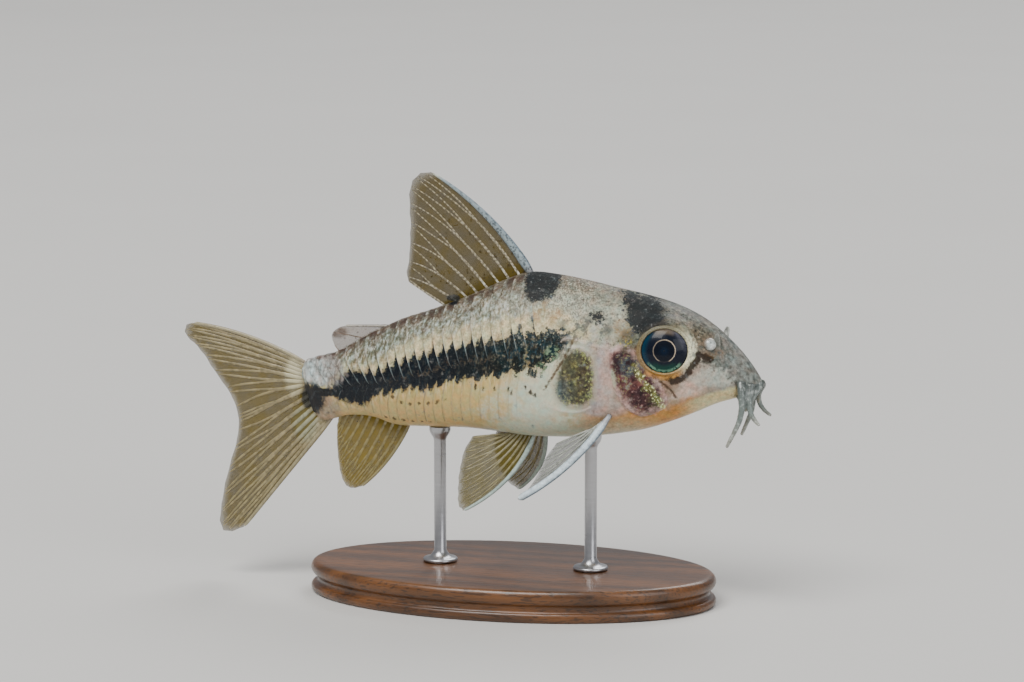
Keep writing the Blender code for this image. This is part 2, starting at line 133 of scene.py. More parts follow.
CHEEK_BLOTCH = [(8.5, 29.9), (9.2, 30.2), (10.2, 30.1), (10.7, 29.3), (10.2, 28.9), (9.3, 29.0)]
SHOULDER_PLATE = [
    (7.8, 26.85), (9.25, 26.4), (9.95, 24.7), (10.0, 22.45), (9.5, 20.95), (8.0, 20.6), (6.5, 21.1),
    (5.8, 22.6), (6.1, 25.0), (6.9, 26.5),
]
SHOULDER_LINE = [(7.6, 27.6), (7.2, 26.4), (6.4, 24.9), (5.6, 23.6), (4.85, 22.4)]
SHOULDER_RIM = [(6.3, 27.2), (7.0, 27.55), (7.8, 27.35), (9.1, 27.0), (11.0, 26.7)]
SHOULDER_FOOT = [(5.2, 20.8), (6.7, 20.3), (8.3, 20.3), (9.5, 20.8)]
GILL_COVER = [
    (11.1, 26.4), (12.4, 27.05), (13.8, 26.4), (15.1, 25.05), (16.3, 23.3), (16.9, 21.8), (16.6, 20.8),
    (15.2, 19.95), (14.0, 19.9), (12.7, 20.9), (11.9, 22.5), (11.3, 24.4),
]
GILL_HEART = [
    (11.6, 26.3), (12.7, 26.6), (13.8, 25.9), (15.0, 24.4), (16.0, 22.9), (16.6, 21.5), (16.0, 20.8),
    (14.9, 20.3), (13.7, 20.8), (12.6, 22.2), (11.8, 23.9), (11.4, 25.3),
]
GILL_GLITTER = [(13.8, 24.9), (14.3, 24.0), (15.0, 23.0), (15.75, 21.9), (16.4, 20.9)]
CHEEK_GROOVE = [(13.3, 26.6), (14.8, 25.2), (16.2, 23.5), (17.1, 22.7), (17.7, 21.8)]
EYE_CRESCENT = [(17.4, 23.45), (18.05, 23.65), (18.7, 24.05), (19.35, 25.1), (19.8, 25.7)]
NOSTRIL_SLIT = [(19.85, 26.15), (20.4, 25.9), (20.95, 25.7)]
SNOUT_CREASE = [(22.6, 24.9), (23.3, 24.2), (23.7, 23.2), (23.8, 22.4)]
MOUTH_LINE = [(23.4, 23.3), (23.6, 22.8), (23.55, 22.3), (23.3, 21.9)]
FACE_EDGE = [
    (6.0, 27.6), (9.0, 27.1), (11.0, 26.8), (12.6, 27.1), (14.2, 26.4), (16.2, 24.2), (18.0, 24.2),
    (19.7, 25.5), (20.7, 25.4), (22.1, 24.75), (23.3, 23.5), (24.3, 22.4), (25.8, 21.5),
]
LIP_EDGE = [(17.0, 20.7), (18.7, 21.4), (20.1, 21.95), (21.6, 22.5), (23.3, 22.9), (25.6, 22.9)]

# How far one row of plates laps over the other at the seam, in radians round the body.
PLATE_LAP = 0.05

# Folds of the head and shoulder: the line, how far the skin rises along it, and the fold's width.
FOLDS = [
    (CHEEK_GROOVE, -0.16, 0.16),
    (SHOULDER_LINE, -0.12, 0.1),
    (SHOULDER_RIM, 0.07, 0.12),
    (SHOULDER_FOOT, 0.06, 0.14),
    (EYE_CRESCENT, -0.15, 0.14),
    (NOSTRIL_SLIT, -0.12, 0.13),
    (SNOUT_CREASE, -0.1, 0.22),
]

# Ovals of colour seen from the side: X and Z of the middle, half width, half height and softness of the edge.
OVALS = {
    "belly clouds": (2.8, 19.6, 5.6, 3.2, 1.0),
    "belly tan": (7.4, 19.3, 1.7, 0.9, 0.8),
    "brow": (18.6, 28.4, 3.2, 1.4, 0.8),
    "round nostril": (21.0, 26.9, 1.7, 1.2, 0.8),
    # Painted shade below the nostril.
    "under nostril": (21.4, 26.1, 0.9, 0.45, 0.8),
    "cheek pale": (18.4, 22.6, 1.9, 0.9, 0.8),
    "cheek brown": (16.9, 23.1, 1.3, 1.1, 0.7),
    "cheek rosy": (19.7, 23.6, 1.2, 1.0, 0.7),
    "snout side": (21.4, 23.8, 2.3, 0.9, 0.7),
    "collar": (10.8, 23.8, 0.95, 3.4, 0.5),
    "collar foot": (10.8, 20.7, 2.3, 0.9, 0.6),
    "shoulder core": (8.9, 24.1, 0.75, 1.8, 0.6),
    "gill rim": (11.8, 24.1, 0.3, 1.4, 0.6),
    "gill black": (12.6, 25.6, 0.9, 1.0, 0.8),
    "gill murk": (13.3, 24.9, 1.2, 1.0, 0.7),
    "gill olive": (15.9, 21.4, 0.9, 0.9, 0.8),
    "gill red": (13.9, 22.9, 0.9, 1.0, 0.8),
    "warm back": (4.3, 29.7, 2.0, 1.1, 0.7),
    "warm nape": (12.2, 28.4, 1.2, 1.0, 0.7),
    "behind eye": (13.0, 27.4, 0.9, 1.2, 0.7),
    "gold spark": (12.7, 27.3, 0.6, 0.4, 0.7),
    "bony": (8.8, 28.3, 3.2, 1.3, 0.6),
    "green upper": (5.6, 26.0, 0.8, 0.8, 0.7),
    "green lower": (4.5, 24.5, 0.6, 0.6, 0.7),
    "tail smoke": (-20.6, 18.2, 2.6, 2.0, 0.9),
    "tail lilac": (-19.8, 22.4, 2.5, 1.6, 0.95),
    "tail white": (-21.1, 22.0, 2.1, 1.5, 1.0),
    "tail spot": (-21.4, 19.4, 1.8, 1.6, 0.9),
    "tail spot bridge": (-19.4, 20.2, 1.1, 0.4, 0.9),
    "behind dorsal": (-6.1, 30.1, 0.8, 0.34, 0.9),
    "tail fin glow": (-23.5, 21.3, 0.9, 1.8, 0.98),
    "tail fin haze": (-22.3, 16.6, 1.3, 1.7, 0.95),
    "tail fin spot": (-21.9, 19.4, 0.75, 1.3, 0.95),
    "anal fin spot": (-10.6, 15.6, 0.6, 1.1, 0.8),
    "dorsal fin spot": (-6.2, 30.35, 0.7, 0.35, 0.8),
    "adipose tip": (-18.6, 26.3, 1.0, 0.6, 0.95),
}

# Eyes: centre of the ball, the way its axis turns forwards and up, its radius and its depth along the axis.
EYE_CENTRE = (16.46, 3.3, 26.38)
EYE_TURN, EYE_RISE = math.radians(11.0), math.radians(9.0)
EYE_RADIUS, EYE_DEPTH = 2.48, 1.2
EYE_SEAT = 0.16
PUPIL_RADIUS = 1.03
LID_INNER, LID_CREST, LID_OUTER = 2.27, 2.4, 2.78
LID_SQUASH = 0.94

# Fins. A point is X and Z for a fin on the midline, and X, Y, Z on the left side for a paired one.
DORSAL_ROOT_X = (1.9, -7.0)
DORSAL_MARGIN = [
    (-8.5, 43.0), (-9.5, 42.9), (-10.3, 42.3), (-10.75, 41.2), (-10.8, 39.6), (-10.7, 37.8), (-10.75, 36.0),
    (-10.85, 34.2), (-11.1, 32.7), (-10.9, 31.8),
]
ADIPOSE_ROOT_X = (-13.0, -18.4)
ADIPOSE_MARGIN = [(-17.75, 26.95), (-18.5, 26.7), (-19.1, 26.2), (-19.25, 25.6), (-18.95, 24.9)]
ANAL_ROOT_X = (-10.85, -18.3)
ANAL_MARGIN = [
    (-16.1, 10.4), (-17.0, 10.15), (-17.8, 10.4), (-18.35, 11.5), (-18.65, 13.3), (-18.75, 15.1),
    (-18.7, 16.4),
]
# The tail fin's two lobes, each from its outer edge to the middle of the fork.
TAIL_UPPER_ROOT = [(-22.6, 23.1), (-22.6, 21.6), (-22.25, 20.15)]
TAIL_LOWER_ROOT = [(-19.8, 16.7), (-20.9, 16.8), (-21.75, 18.2), (-22.25, 20.05)]
TAIL_UPPER_MARGIN = [
    (-34.8, 26.28), (-35.5, 26.1), (-35.8, 25.5), (-35.5, 24.8), (-34.5, 24.0), (-33.5, 22.9),
    (-32.5, 21.5), (-31.3, 20.0), (-30.3, 18.5), (-29.7, 16.58),
]
TAIL_LOWER_MARGIN = [
    (-29.3, 5.2), (-30.6, 4.65), (-31.6, 4.7), (-32.0, 5.7), (-31.8, 7.4), (-31.35, 9.7), (-30.6, 12.3),
    (-29.95, 14.4), (-29.7, 16.62),
]
PECTORAL_ROOT = [(11.0, 5.5, 19.4), (9.7, 5.8, 18.7)]
PECTORAL_MARGIN = {
    "right": [(2.8, 8.4, 11.75), (3.5, 8.15, 12.4), (4.5, 7.85, 13.9), (5.3, 7.4, 15.7), (6.4, 7.05, 17.3)],
    "left": [(2.0, 9.6, 15.7), (2.8, 9.4, 16.5), (3.9, 9.0, 17.6), (4.8, 8.5, 18.5), (5.7, 8.0, 19.1)],
}
PELVIC_ROOT = [(2.8, 2.5, 16.8), (1.3, 2.7, 17.1), (-0.2, 2.9, 17.2)]
PELVIC_MARGIN = {
    "right": [
        (-3.6, 5.6, 9.7), (-4.1, 5.6, 10.3), (-4.15, 5.55, 11.6), (-4.1, 5.45, 13.1), (-3.9, 5.25, 14.5),
        (-3.6, 5.0, 15.8), (-2.9, 4.5, 17.1),
    ],
    "left": [(-0.9, 5.7, 9.9), (-2.3, 5.8, 10.9), (-3.2, 5.6, 13.0), (-3.3, 5.3, 15.0), (-2.8, 5.1, 16.6)],
}

# Each fin: number of rays, bow of a ray, the first ray's width over the others' and the share of it lost to
# its tip, the share of a ray inside the body, the shares along at which rays fork, and their width.
FINS = {
    "dorsal": dict(rays=9, bow=(0.65, 0.0, 0.65), spine=3.8, blunt=0.8, width=0.27, seed=3),
    "adipose": dict(rays=3, bow=(0.0, 0.0, 0.0), spine=2.6, forks=(), width=0.12, seed=4),
    "anal": dict(rays=10, bow=(0.3, 0.0, -0.4), spine=1.1, forks=(0.45,), width=0.36, seed=5),
    "tail upper": dict(rays=9, bow=(0.0, 0.0, 0.6), spine=1.1, inset=0.1, forks=(0.3,), width=0.46, seed=6),
    "tail lower": dict(rays=9, bow=(0.0, 0.0, 0.0), spine=1.1, inset=0.1, forks=(0.3,), width=0.46, seed=7),
    "pectoral": dict(rays=7, bow=(0.5, 0.3, -0.5), spine=3.9, blunt=0.1, inset=0.07, seed=8),
    "pelvic": dict(
        rays=9, bow=(0.9, 0.25, -0.45), spine=2.1, blunt=0.45, inset=0.1, forks=(0.35,), width=0.26, seed=9
    ),
}
RAY_SPREAD = 0.8
RAY_FLATNESS, SPINE_FLATNESS = 0.5, 0.8

# Feelers and the fold of the lip, from root to tip on the left side.
BARBELS = {
    "rear": [
        (23.9, 1.75, 23.3), (24.0, 2.25, 22.5), (24.1, 2.55, 21.7), (24.15, 2.75, 20.8), (23.95, 2.95, 19.6),
        (23.45, 3.25, 18.4), (22.85, 3.6, 17.1),
    ],
    "front": [
        (24.8, 1.4, 23.1), (24.8, 1.85, 22.2), (24.8, 2.2, 21.3), (24.95, 2.4, 20.5), (25.4, 2.65, 19.8),
        (25.95, 2.9, 19.3),
    ],
    "chin": [
        (23.3, 0.85, 22.3), (23.65, 1.05, 21.5), (23.85, 1.3, 20.8), (23.8, 1.58, 20.25), (23.6, 1.8, 19.8),
    ],
}
LIP_FOLD = [
    (25.55, 0.35, 23.1), (25.6, 0.85, 22.75), (25.4, 1.25, 22.35), (25.15, 1.6, 21.9), (24.95, 1.95, 21.3),
    (24.85, 2.2, 20.7),
]

# Feelers' radii at the root, the middle and the tip.
BARBEL_SHAPES = {"rear": (0.46, 0.41, 0.15), "front": (0.42, 0.37, 0.14), "chin": (0.36, 0.27, 0.12)}
LIP_FOLD_SHAPE = (0.3, 0.26, 0.12)

# Display stand.
PLINTH_HIGH = 3.2
ROD_X = {"front": 8.2, "rear": -7.6}
ROD_RADIUS = 0.75

# Stage, in degrees and metres but for the floor's half width. A light's azimuth, elevation, distance, size,
# power and colour, and the height that the lights aim at.
LIGHTS = {
    "key": (-20.0, 58.0, 1.6, 0.9, 27.0, (1.0, 0.985, 0.96)),
    "fill": (55.0, 24.0, 1.8, 1.0, 9.0, (0.97, 0.98, 1.0)),
    "rim": (168.0, 48.0, 1.5, 0.8, 10.0, (1.0, 1.0, 1.0)),
}
LIGHT_AIM = 0.024
WORLD_COLOUR, WORLD_STRENGTH = (0.95, 0.96, 1.0, 1.0), 0.34
FLOOR_REACH = 3000.0
CAMERA_ANGLES, CAMERA_DISTANCE, CAMERA_AIM = (15.0, 9.0), 0.4, 0.0262
CAMERA_LENS = 140.0

# How far colours are drawn away from their own grey.
DEEPEN = 1.45


# Curves and fields


def smooth_rows(rows, at):
    """Rows of a table read at fractional row numbers, on the cubic through each four neighbours whose slope
    at a row is half the step between the rows beside it."""
    rows = np.asarray(rows, float)
    at = np.clip(np.asarray(at, float), 0.0, len(rows) - 1.0)
    first = np.minimum(at.astype(int), len(rows) - 2)
    t = (at - first)[..., None]
    padded = np.vstack([2 * rows[0] - rows[1], rows, 2 * rows[-1] - rows[-2]])
    a, b, c, d = (padded[first + k] for k in range(4))
    return 0.5 * (2 * b + (c - a) * t + (2 * a - 5 * b + 4 * c - d) * t**2 + (3 * b - a - 3 * c + d) * t**3)


def curve(points, share):
    """Points of a smooth curve at shares 0 to 1 of its rows."""
    return smooth_rows(points, np.asarray(share, float) * (len(points) - 1))


def read_curve(points, x):
    """The second column of a curve where its first column is x."""
    fine = curve(points, np.linspace(0.0, 1.0, 200))
    order = np.argsort(fine[:, 0])
    return np.interp(x, fine[order, 0], fine[order, 1])


def ease(value, low, high):
    """0 below low, 1 above high and a smooth cubic between. low may be above high."""
    t = np.clip((np.asarray(value, float) - low) / (high - low), 0.0, 1.0)
    return t * t * (3.0 - 2.0 * t)


def hump(value, width):
    """A bell curve, 1 at value 0."""
    return np.exp(-((np.asarray(value, float) / width) ** 2))


def unit(vectors):
    """Vectors brought to length 1."""
    return vectors / np.maximum(np.linalg.norm(vectors, axis=-1, keepdims=True), 1e-12)


def turns(count):
    """Equal turns round a circle, from 0."""
    return np.linspace(0.0, TURN, count, endpoint=False)


def signed_power(value, power):
    return np.sign(value) * np.abs(value) ** power


def line_distance(x, z, line, closed=False):
    """Distance in the XZ plane from each point to a smooth line: the least distance to its short pieces."""
    fine = curve([*line, line[0]] if closed else line, np.linspace(0.0, 1.0, 12 * len(line)))
    shape = np.shape(x)
    spots = np.stack([np.ravel(x), np.ravel(z)], -1)
    best = np.full(len(spots), 1e9)
    for a, b in zip(fine[:-1], fine[1:]):
        step = b - a
        share = np.clip(((spots - a) @ step) / max(step @ step, 1e-12), 0.0, 1.0)
        gap = spots - a - share[:, None] * step
        best = np.minimum(best, np.einsum("ij,ij->i", gap, gap))
    return np.sqrt(best).reshape(shape)


def depth_inside(x, z, outline):
    """Signed distance in the XZ plane to a smooth closed outline, positive inside it. A point is inside
    where a line from it to +X crosses the outline an odd number of times."""
    fine = curve([*outline, outline[0]], np.linspace(0.0, 1.0, 12 * len(outline)))
    inside = np.zeros(np.shape(x), bool)
    for (ax, az), (bx, bz) in zip(fine[:-1], fine[1:]):
        if az != bz:
            crosses = (az > z) != (bz > z)
            inside ^= crosses & (x < ax + (z - az) * (bx - ax) / (bz - az))
    return np.where(inside, 1.0, -1.0) * line_distance(x, z, outline, closed=True)


def sway(x):
    """How far the tail's swing moves a point at this X to the left: the square of the way to the tip."""
    behind = np.clip((SWAY_FROM_X - np.asarray(x, float)) / (SWAY_FROM_X - SWAY_TIP_X), 0.0, None)
    return SWAY_AT_TIP * behind**2


def swung(points):
    """Points with the tail's swing added."""
    moved = np.array(points, float)
    moved[..., 1] += sway(moved[..., 0])
    return moved


def body_points(at, around):
    """Points of the body about its plane of symmetry. `at` is a station number, and `around` is 0 at the
    back, a quarter turn on the right side and a half turn at the belly. Each half of a cross-section is a
    superellipse from its widest height to the back or the belly, and the tail's sections lean back."""
    x, top, foot, half, wide_at, upper, lower = np.moveaxis(smooth_rows(BODY_STATIONS, at), -1, 0)
    widest = foot + wide_at * (top - foot)
    rise = np.cos(around)
    power = 2.0 / np.where(rise > 0, upper, lower)
    y = -half * signed_power(np.sin(around), power)
    z = widest + np.where(rise > 0, top - widest, widest - foot) * signed_power(rise, power)
    lean = TAIL_LEAN * np.clip((TAIL_LEAN_FROM_X - x) / (TAIL_LEAN_FROM_X - TAIL_LEAN_TO_X), 0.0, 1.0)
    return np.stack([x - lean * (z - (top + foot) / 2), y, z], -1)


STATION_NUMBERS = np.linspace(0.0, len(BODY_STATIONS) - 1.0, 2001)
STATION_X = smooth_rows(BODY_STATIONS, STATION_NUMBERS)[:, 0]


def station_at(x):
    """The station number whose section stands at this X."""
    return np.interp(-np.asarray(x, float), -STATION_X, STATION_NUMBERS)


def midline_height(x, around):
    """Height of the back, with `around` 0, or of the belly, with a half turn, at this X."""
    line = body_points(STATION_NUMBERS, np.full(len(STATION_NUMBERS), around))
    return np.interp(-np.asarray(x, float), -line[:, 0], line[:, 2])


def grid_normals(points, outward):
    """Unit normals of a grid of points from the cross product of its two differences, turned to agree with
    the `outward` directions."""
    normal = unit(np.cross(np.gradient(points, axis=0), np.gradient(points, axis=1)))
    facing = np.einsum("...i,...i->...", normal, outward)
    return normal * np.where(facing < 0.0, -1.0, 1.0)[..., None]


# Meshes


def make_piece(name, points, faces, fields=None, uv=None, sharp=None):
    """A smooth-shaded mesh object from points in millimetres and four-sided faces, of which one with its
    last corner repeated is a triangle. Fields are a number a vertex, and uv a place a vertex or corner."""
    mesh = bpy.data.meshes.new(name)
    quads = np.asarray(faces, np.int32)
    corners = np.where(quads[:, 3] == quads[:, 2], 3, 4)
    used = np.arange(4)[None, :] < corners[:, None]
    loops = quads[used]
    mesh.vertices.add(len(points))
    mesh.vertices.foreach_set("co", (np.asarray(points, float) * MM).astype(np.float32).ravel())
    mesh.loops.add(len(loops))
    mesh.loops.foreach_set("vertex_index", loops)
    mesh.polygons.add(len(quads))
    mesh.polygons.foreach_set("loop_start", np.concatenate([[0], np.cumsum(corners)[:-1]]).astype(np.int32))
    mesh.polygons.foreach_set("use_smooth", np.ones(len(quads), bool))
    mesh.update(calc_edges=True)
    for title, values in (fields or {}).items():
        attribute = mesh.attributes.new(title, "FLOAT", "POINT")
        attribute.data.foreach_set("value", np.asarray(values, np.float32).ravel())
    if uv is not None:
        places = np.asarray(uv, np.float32)
        places = places[loops] if places.ndim == 2 else places[used]
        mesh.uv_layers.new(name="OFBake").uv.foreach_set("vector", places.ravel())
    if sharp is not None:
        mesh.set_sharp_from_angle(angle=math.radians(sharp))
    mesh.validate()
    made = bpy.data.objects.new(name, mesh)
    bpy.context.scene.collection.objects.link(made)
    return made


def finish_piece(piece, look, slot, *nodes):
    """Gives a piece its material and its body, and hides the nodes that it stands for. The slot is not used.
    """
    piece.data.materials.clear()
    piece.data.materials.append(look)
    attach(piece, "root")
    if nodes:
        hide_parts(*nodes)


def strip_faces(rows, columns, wrap=False):
    """Faces of a grid of points numbered row by row, with the last column joined to the first if wrapped."""
    i, j = np.meshgrid(np.arange(rows - 1), np.arange(columns if wrap else columns - 1), indexing="ij")
    k = (j + 1) % columns
    faces = np.stack([i * columns + j, (i + 1) * columns + j, (i + 1) * columns + k, i * columns + k], -1)
    return faces.reshape(-1, 4)


def ring_faces(rows, columns):
    """Faces of a stack of rings, closed at each end by triangles to a pole. The poles are numbered last."""
    j = np.arange(columns)
    k = (j + 1) % columns
    pole, base = rows * columns, (rows - 1) * columns
    tip = np.stack([j, np.full(columns, pole), k, k], -1)
    end = np.stack([base + k, np.full(columns, pole + 1), base + j, base + j], -1)
    return np.concatenate([strip_faces(rows, columns, wrap=True), tip, end])


def sheet_faces(rows, columns):
    """Faces of a closed thin sheet: a front grid, a back grid numbered after it, and the rim between."""
    front = strip_faces(rows, columns)
    size = rows * columns
    number = np.arange(size).reshape(rows, columns)
    rim = np.concatenate([number[0, :], number[1:, -1], number[-1, -2::-1], number[-2:0:-1, 0]])
    after = np.roll(rim, -1)
    edge = np.stack([rim, after, after + size, rim + size], -1)
    return np.concatenate([front, front[:, ::-1] + size, edge])


def many_faces(faces, size, copies):
    """The same faces for each of several equal blocks of points."""
    return (faces[None] + (np.arange(copies) * size)[:, None, None]).reshape(-1, 4)


def facing_out(points, faces):
    """Faces of a closed mesh, turned over where the volume that they enclose comes out below zero."""
    a, b, c, d = (points[faces[:, k]] - points.mean(0) for k in range(4))
    volume = (np.einsum("ij,ij->i", a, np.cross(b, c)) + np.einsum("ij,ij->i", a, np.cross(c, d))).sum()
    if volume > 0.0:
        return faces
    return np.where((faces[:, 3] == faces[:, 2])[:, None], faces[:, [1, 0, 2, 2]], faces[:, ::-1])


def thick_sheet(sheet, half, side=1.0):
    """Points and faces of a closed sheet: a grid moved both ways by `half`, and mirrored to a side."""
    block = np.stack([sheet + half, sheet - half])
    block[..., 1] *= side
    points = block.reshape(-1, 3)
    return points, facing_out(points, sheet_faces(*sheet.shape[:2]))


def tubes(paths, radii, flat_to, flatness, sides):
    """Closed tubes along several paths at once, as tubes by rows by 3, with radii as tubes by rows. Along
    `flat_to` a section is `flatness` times as thick. Returns points, faces, tube numbers and shares along."""
    count, rows, _ = paths.shape
    run = unit(np.gradient(paths, axis=1))
    across = unit(np.cross(run, flat_to))
    up = np.cross(across, run)
    angle = turns(sides)
    ring = across[:, :, None] * np.cos(angle)[:, None] + flatness * up[:, :, None] * np.sin(angle)[:, None]
    body = paths[:, :, None] + radii[:, :, None, None] * ring
    start = paths[:, :1] - run[:, :1] * radii[:, :1, None] * 0.5
    end = paths[:, -1:] + run[:, -1:] * radii[:, -1:, None] * 0.5
    block = np.concatenate([body.reshape(count, rows * sides, 3), start, end], 1)
    size = rows * sides + 2
    faces = many_faces(facing_out(block[0], ring_faces(rows, sides)), size, count)
    share = np.concatenate([np.repeat(np.linspace(0.0, 1.0, rows), sides), [0.0, 1.0]])
    return block.reshape(-1, 3), faces, np.repeat(np.arange(count), size), np.tile(share, count)


# Materials


def deepened(value):
    """A colour drawn away from its own grey, because soft studio light pales it."""
    grey = 0.25 * value[0] + 0.65 * value[1] + 0.1 * value[2]
    return [max(0.002, grey + (part - grey) * DEEPEN) for part in value[:3]]


def shaded(value, share):
    """A constant colour made lighter or darker."""
    return tuple(share * part for part in value)


class Number:
    """A shader socket that holds a number. Arithmetic on it adds Math nodes and gives another Number."""

    def __init__(self, finish, socket):
        self.finish, self.socket = finish, socket

    def math(self, operation, *others):
        return self.finish.node("ShaderNodeMath", dict(enumerate((self, *others))), operation=operation)

    def __add__(self, other):
        return self.math("ADD", other)

    def __sub__(self, other):
        return self.math("SUBTRACT", other)

    def __rsub__(self, other):
        return self.finish.node("ShaderNodeMath", {0: other, 1: self}, operation="SUBTRACT")

    def __mul__(self, other):
        return self.math("MULTIPLY", other)

    def __pow__(self, other):
        return self.math("POWER", other)

    __radd__ = __add__
    __rmul__ = __mul__

    def least(self, other):
        return self.math("MINIMUM", other)

    def most(self, other):
        return self.math("MAXIMUM", other)

    def size(self):
        return self.math("ABSOLUTE")

    def wave(self):
        return self.math("SINE")

    def ease(self, low, high):
        """0 at low, 1 at high and a smooth cubic between."""
        values = {"Value": self, "From Min": low, "From Max": high}
        return self.finish.node("ShaderNodeMapRange", values, interpolation_type="SMOOTHSTEP")


class Finish:
    """A material being made: a Principled shader and the nodes that feed it. The noises that its patterns
    share are kept on it as grain, fine, patch and streaks."""

    def __init__(self, name, **constants):
        self.material = bpy.data.materials.new(name)
        self.material.use_nodes = True
        self.tree = self.material.node_tree
        self.shader = self.tree.nodes["Principled BSDF"]
        for title, value in constants.items():
            self.shader.inputs[title.replace("_", " ").title().replace("Ior", "IOR")].default_value = value
        place = self.node("ShaderNodeTexCoord", output="Object", wrap=False)
        self.place = self.vector("SCALE", {0: place, "Scale": 1.0 / MM})
        axes = self.node("ShaderNodeSeparateXYZ", {0: self.place}, wrap=False).node
        self.x, self.y, self.z = (Number(self, socket) for socket in axes.outputs)

    def node(self, kind, values=None, output=0, wrap=True, **settings):
        """A node of this type, its settings made first and then its socket values or links."""
        made = self.tree.nodes.new(kind)
        for title, value in settings.items():
            setattr(made, title, value)
        for title, value in (values or {}).items():
            value = value.socket if isinstance(value, Number) else value
            if isinstance(value, bpy.types.NodeSocket):
                self.tree.links.new(value, made.inputs[title])
            else:
                made.inputs[title].default_value = value
        socket = made.outputs[output]
        return Number(self, socket) if wrap else socket

    def vector(self, operation, values):
        return self.node("ShaderNodeVectorMath", values, wrap=False, operation=operation)

    def field(self, title):
        """A number stored on the piece's points."""
        return self.node("ShaderNodeAttribute", output="Fac", attribute_name=title)

    def noise(self, scale, detail, rough, stretch=None):
        """Soft noise spread over 0 to 1 about 0.5. The scale is in waves a millimetre."""
        place = self.vector("MULTIPLY", {0: self.place, 1: stretch}) if stretch else self.place
        values = {"Vector": place, "Scale": scale, "Detail": detail, "Roughness": rough}
        soft = self.node("ShaderNodeTexNoise", values, output="Fac")
        return self.node("ShaderNodeMapRange", {"Value": soft, "From Min": 0.27, "From Max": 0.73})

    def cells(self, scale):
        """Distance to the nearest of random points, a given number of them a millimetre."""
        return self.node("ShaderNodeTexVoronoi", {"Vector": self.place, "Scale": scale}, output="Distance")

    def stray(self, **weights):
        """The finish's own noises by name, each about 0 and times its weight, as one sum."""
        parts = [(getattr(self, title) - 0.5) * weight for title, weight in weights.items()]
        return sum(parts[1:], parts[0])

    def mix(self, share, low, high):
        """A colour between two, at a share from 0 to 1."""
        low, high = (v if isinstance(v, bpy.types.NodeSocket) else (*deepened(v), 1.0) for v in (low, high))
        return self.node("ShaderNodeMix", {0: share, 6: low, 7: high}, output=2, wrap=False, data_type="RGBA")

    def layers(self, value, *coats):
        """A colour with others laid over it in turn, each given as a share and a colour."""
        for share, coat in coats:
            value = self.mix(share, value, coat)
        return value

    def mottle(self, value, **strengths):
        """A colour made lighter and darker by the finish's own noises, each at its strength."""
        value = value if isinstance(value, bpy.types.NodeSocket) else deepened(value)
        return self.vector("SCALE", {0: value, "Scale": (self.stray(**strengths) + 1.0).most(0.12)})

    def tinge(self, value, noise):
        """A colour whose hue drifts with a noise between rosy and blue-green."""
        return self.vector("MULTIPLY", {0: value, 1: self.mix(noise, (1.08, 0.97, 0.94), (0.93, 1.02, 1.05))})

    def oval(self, name):
        """1 inside one of the named ovals, fading to 0 across its soft edge."""
        x, z, wide, high, soft = OVALS[name]
        away = ((self.x - x) * (1.0 / wide)) ** 2.0 + ((self.z - z) * (1.0 / high)) ** 2.0
        return away.ease(1.0 + soft, 1.0 - soft)

    def link(self, title, value):
        value = value.socket if isinstance(value, Number) else value
        self.tree.links.new(value, self.shader.inputs[title])

    def bump(self, height, depth, strength):
        """A Bump node for a height from 0 to 1 that stands for this depth in millimetres."""
        values = {"Height": height, "Distance": depth * MM, "Strength": strength}
        return self.node("ShaderNodeBump", values, wrap=False)


# Sizes and colours


def colour(name, description, default):
    values = {"name": name, "description": description, "default": default}
    return FloatVectorProperty(**values, subtype="COLOR", size=3, min=0.0, max=1.0)


def length(name, description, default):
    """A length, given here in millimetres."""
    values = {"name": name, "description": description, "default": default * MM}
    return FloatProperty(**values, min=0.0, subtype="DISTANCE", unit="LENGTH", precision=4)


class CatfishSizes(bpy.types.PropertyGroup):
    skin_inset: length("Skin inset", "Depth of the skin under the body's outline", 0.15)
    plate_pitch: length("Plate pitch", "Distance from one plate to the next", 1.03)
    plate_overlap: FloatProperty(
        name="Plate overlap", description="Length of a plate over the distance to the next", default=1.4,
        min=1.0, max=2.0, subtype="FACTOR",
    )
    plate_thickness: length("Plate thickness", "Thickness of a plate at its rear edge", 0.055)
    web_thickness: length("Web thickness", "Thickness of the clear skin between fin rays", 0.05)
    ray_thickness: length("Ray thickness", "Width of a fin ray at its root", 0.22)
    ray_sides: IntProperty(name="Ray sides", description="Sides of each fin ray", default=8, min=5, max=16)


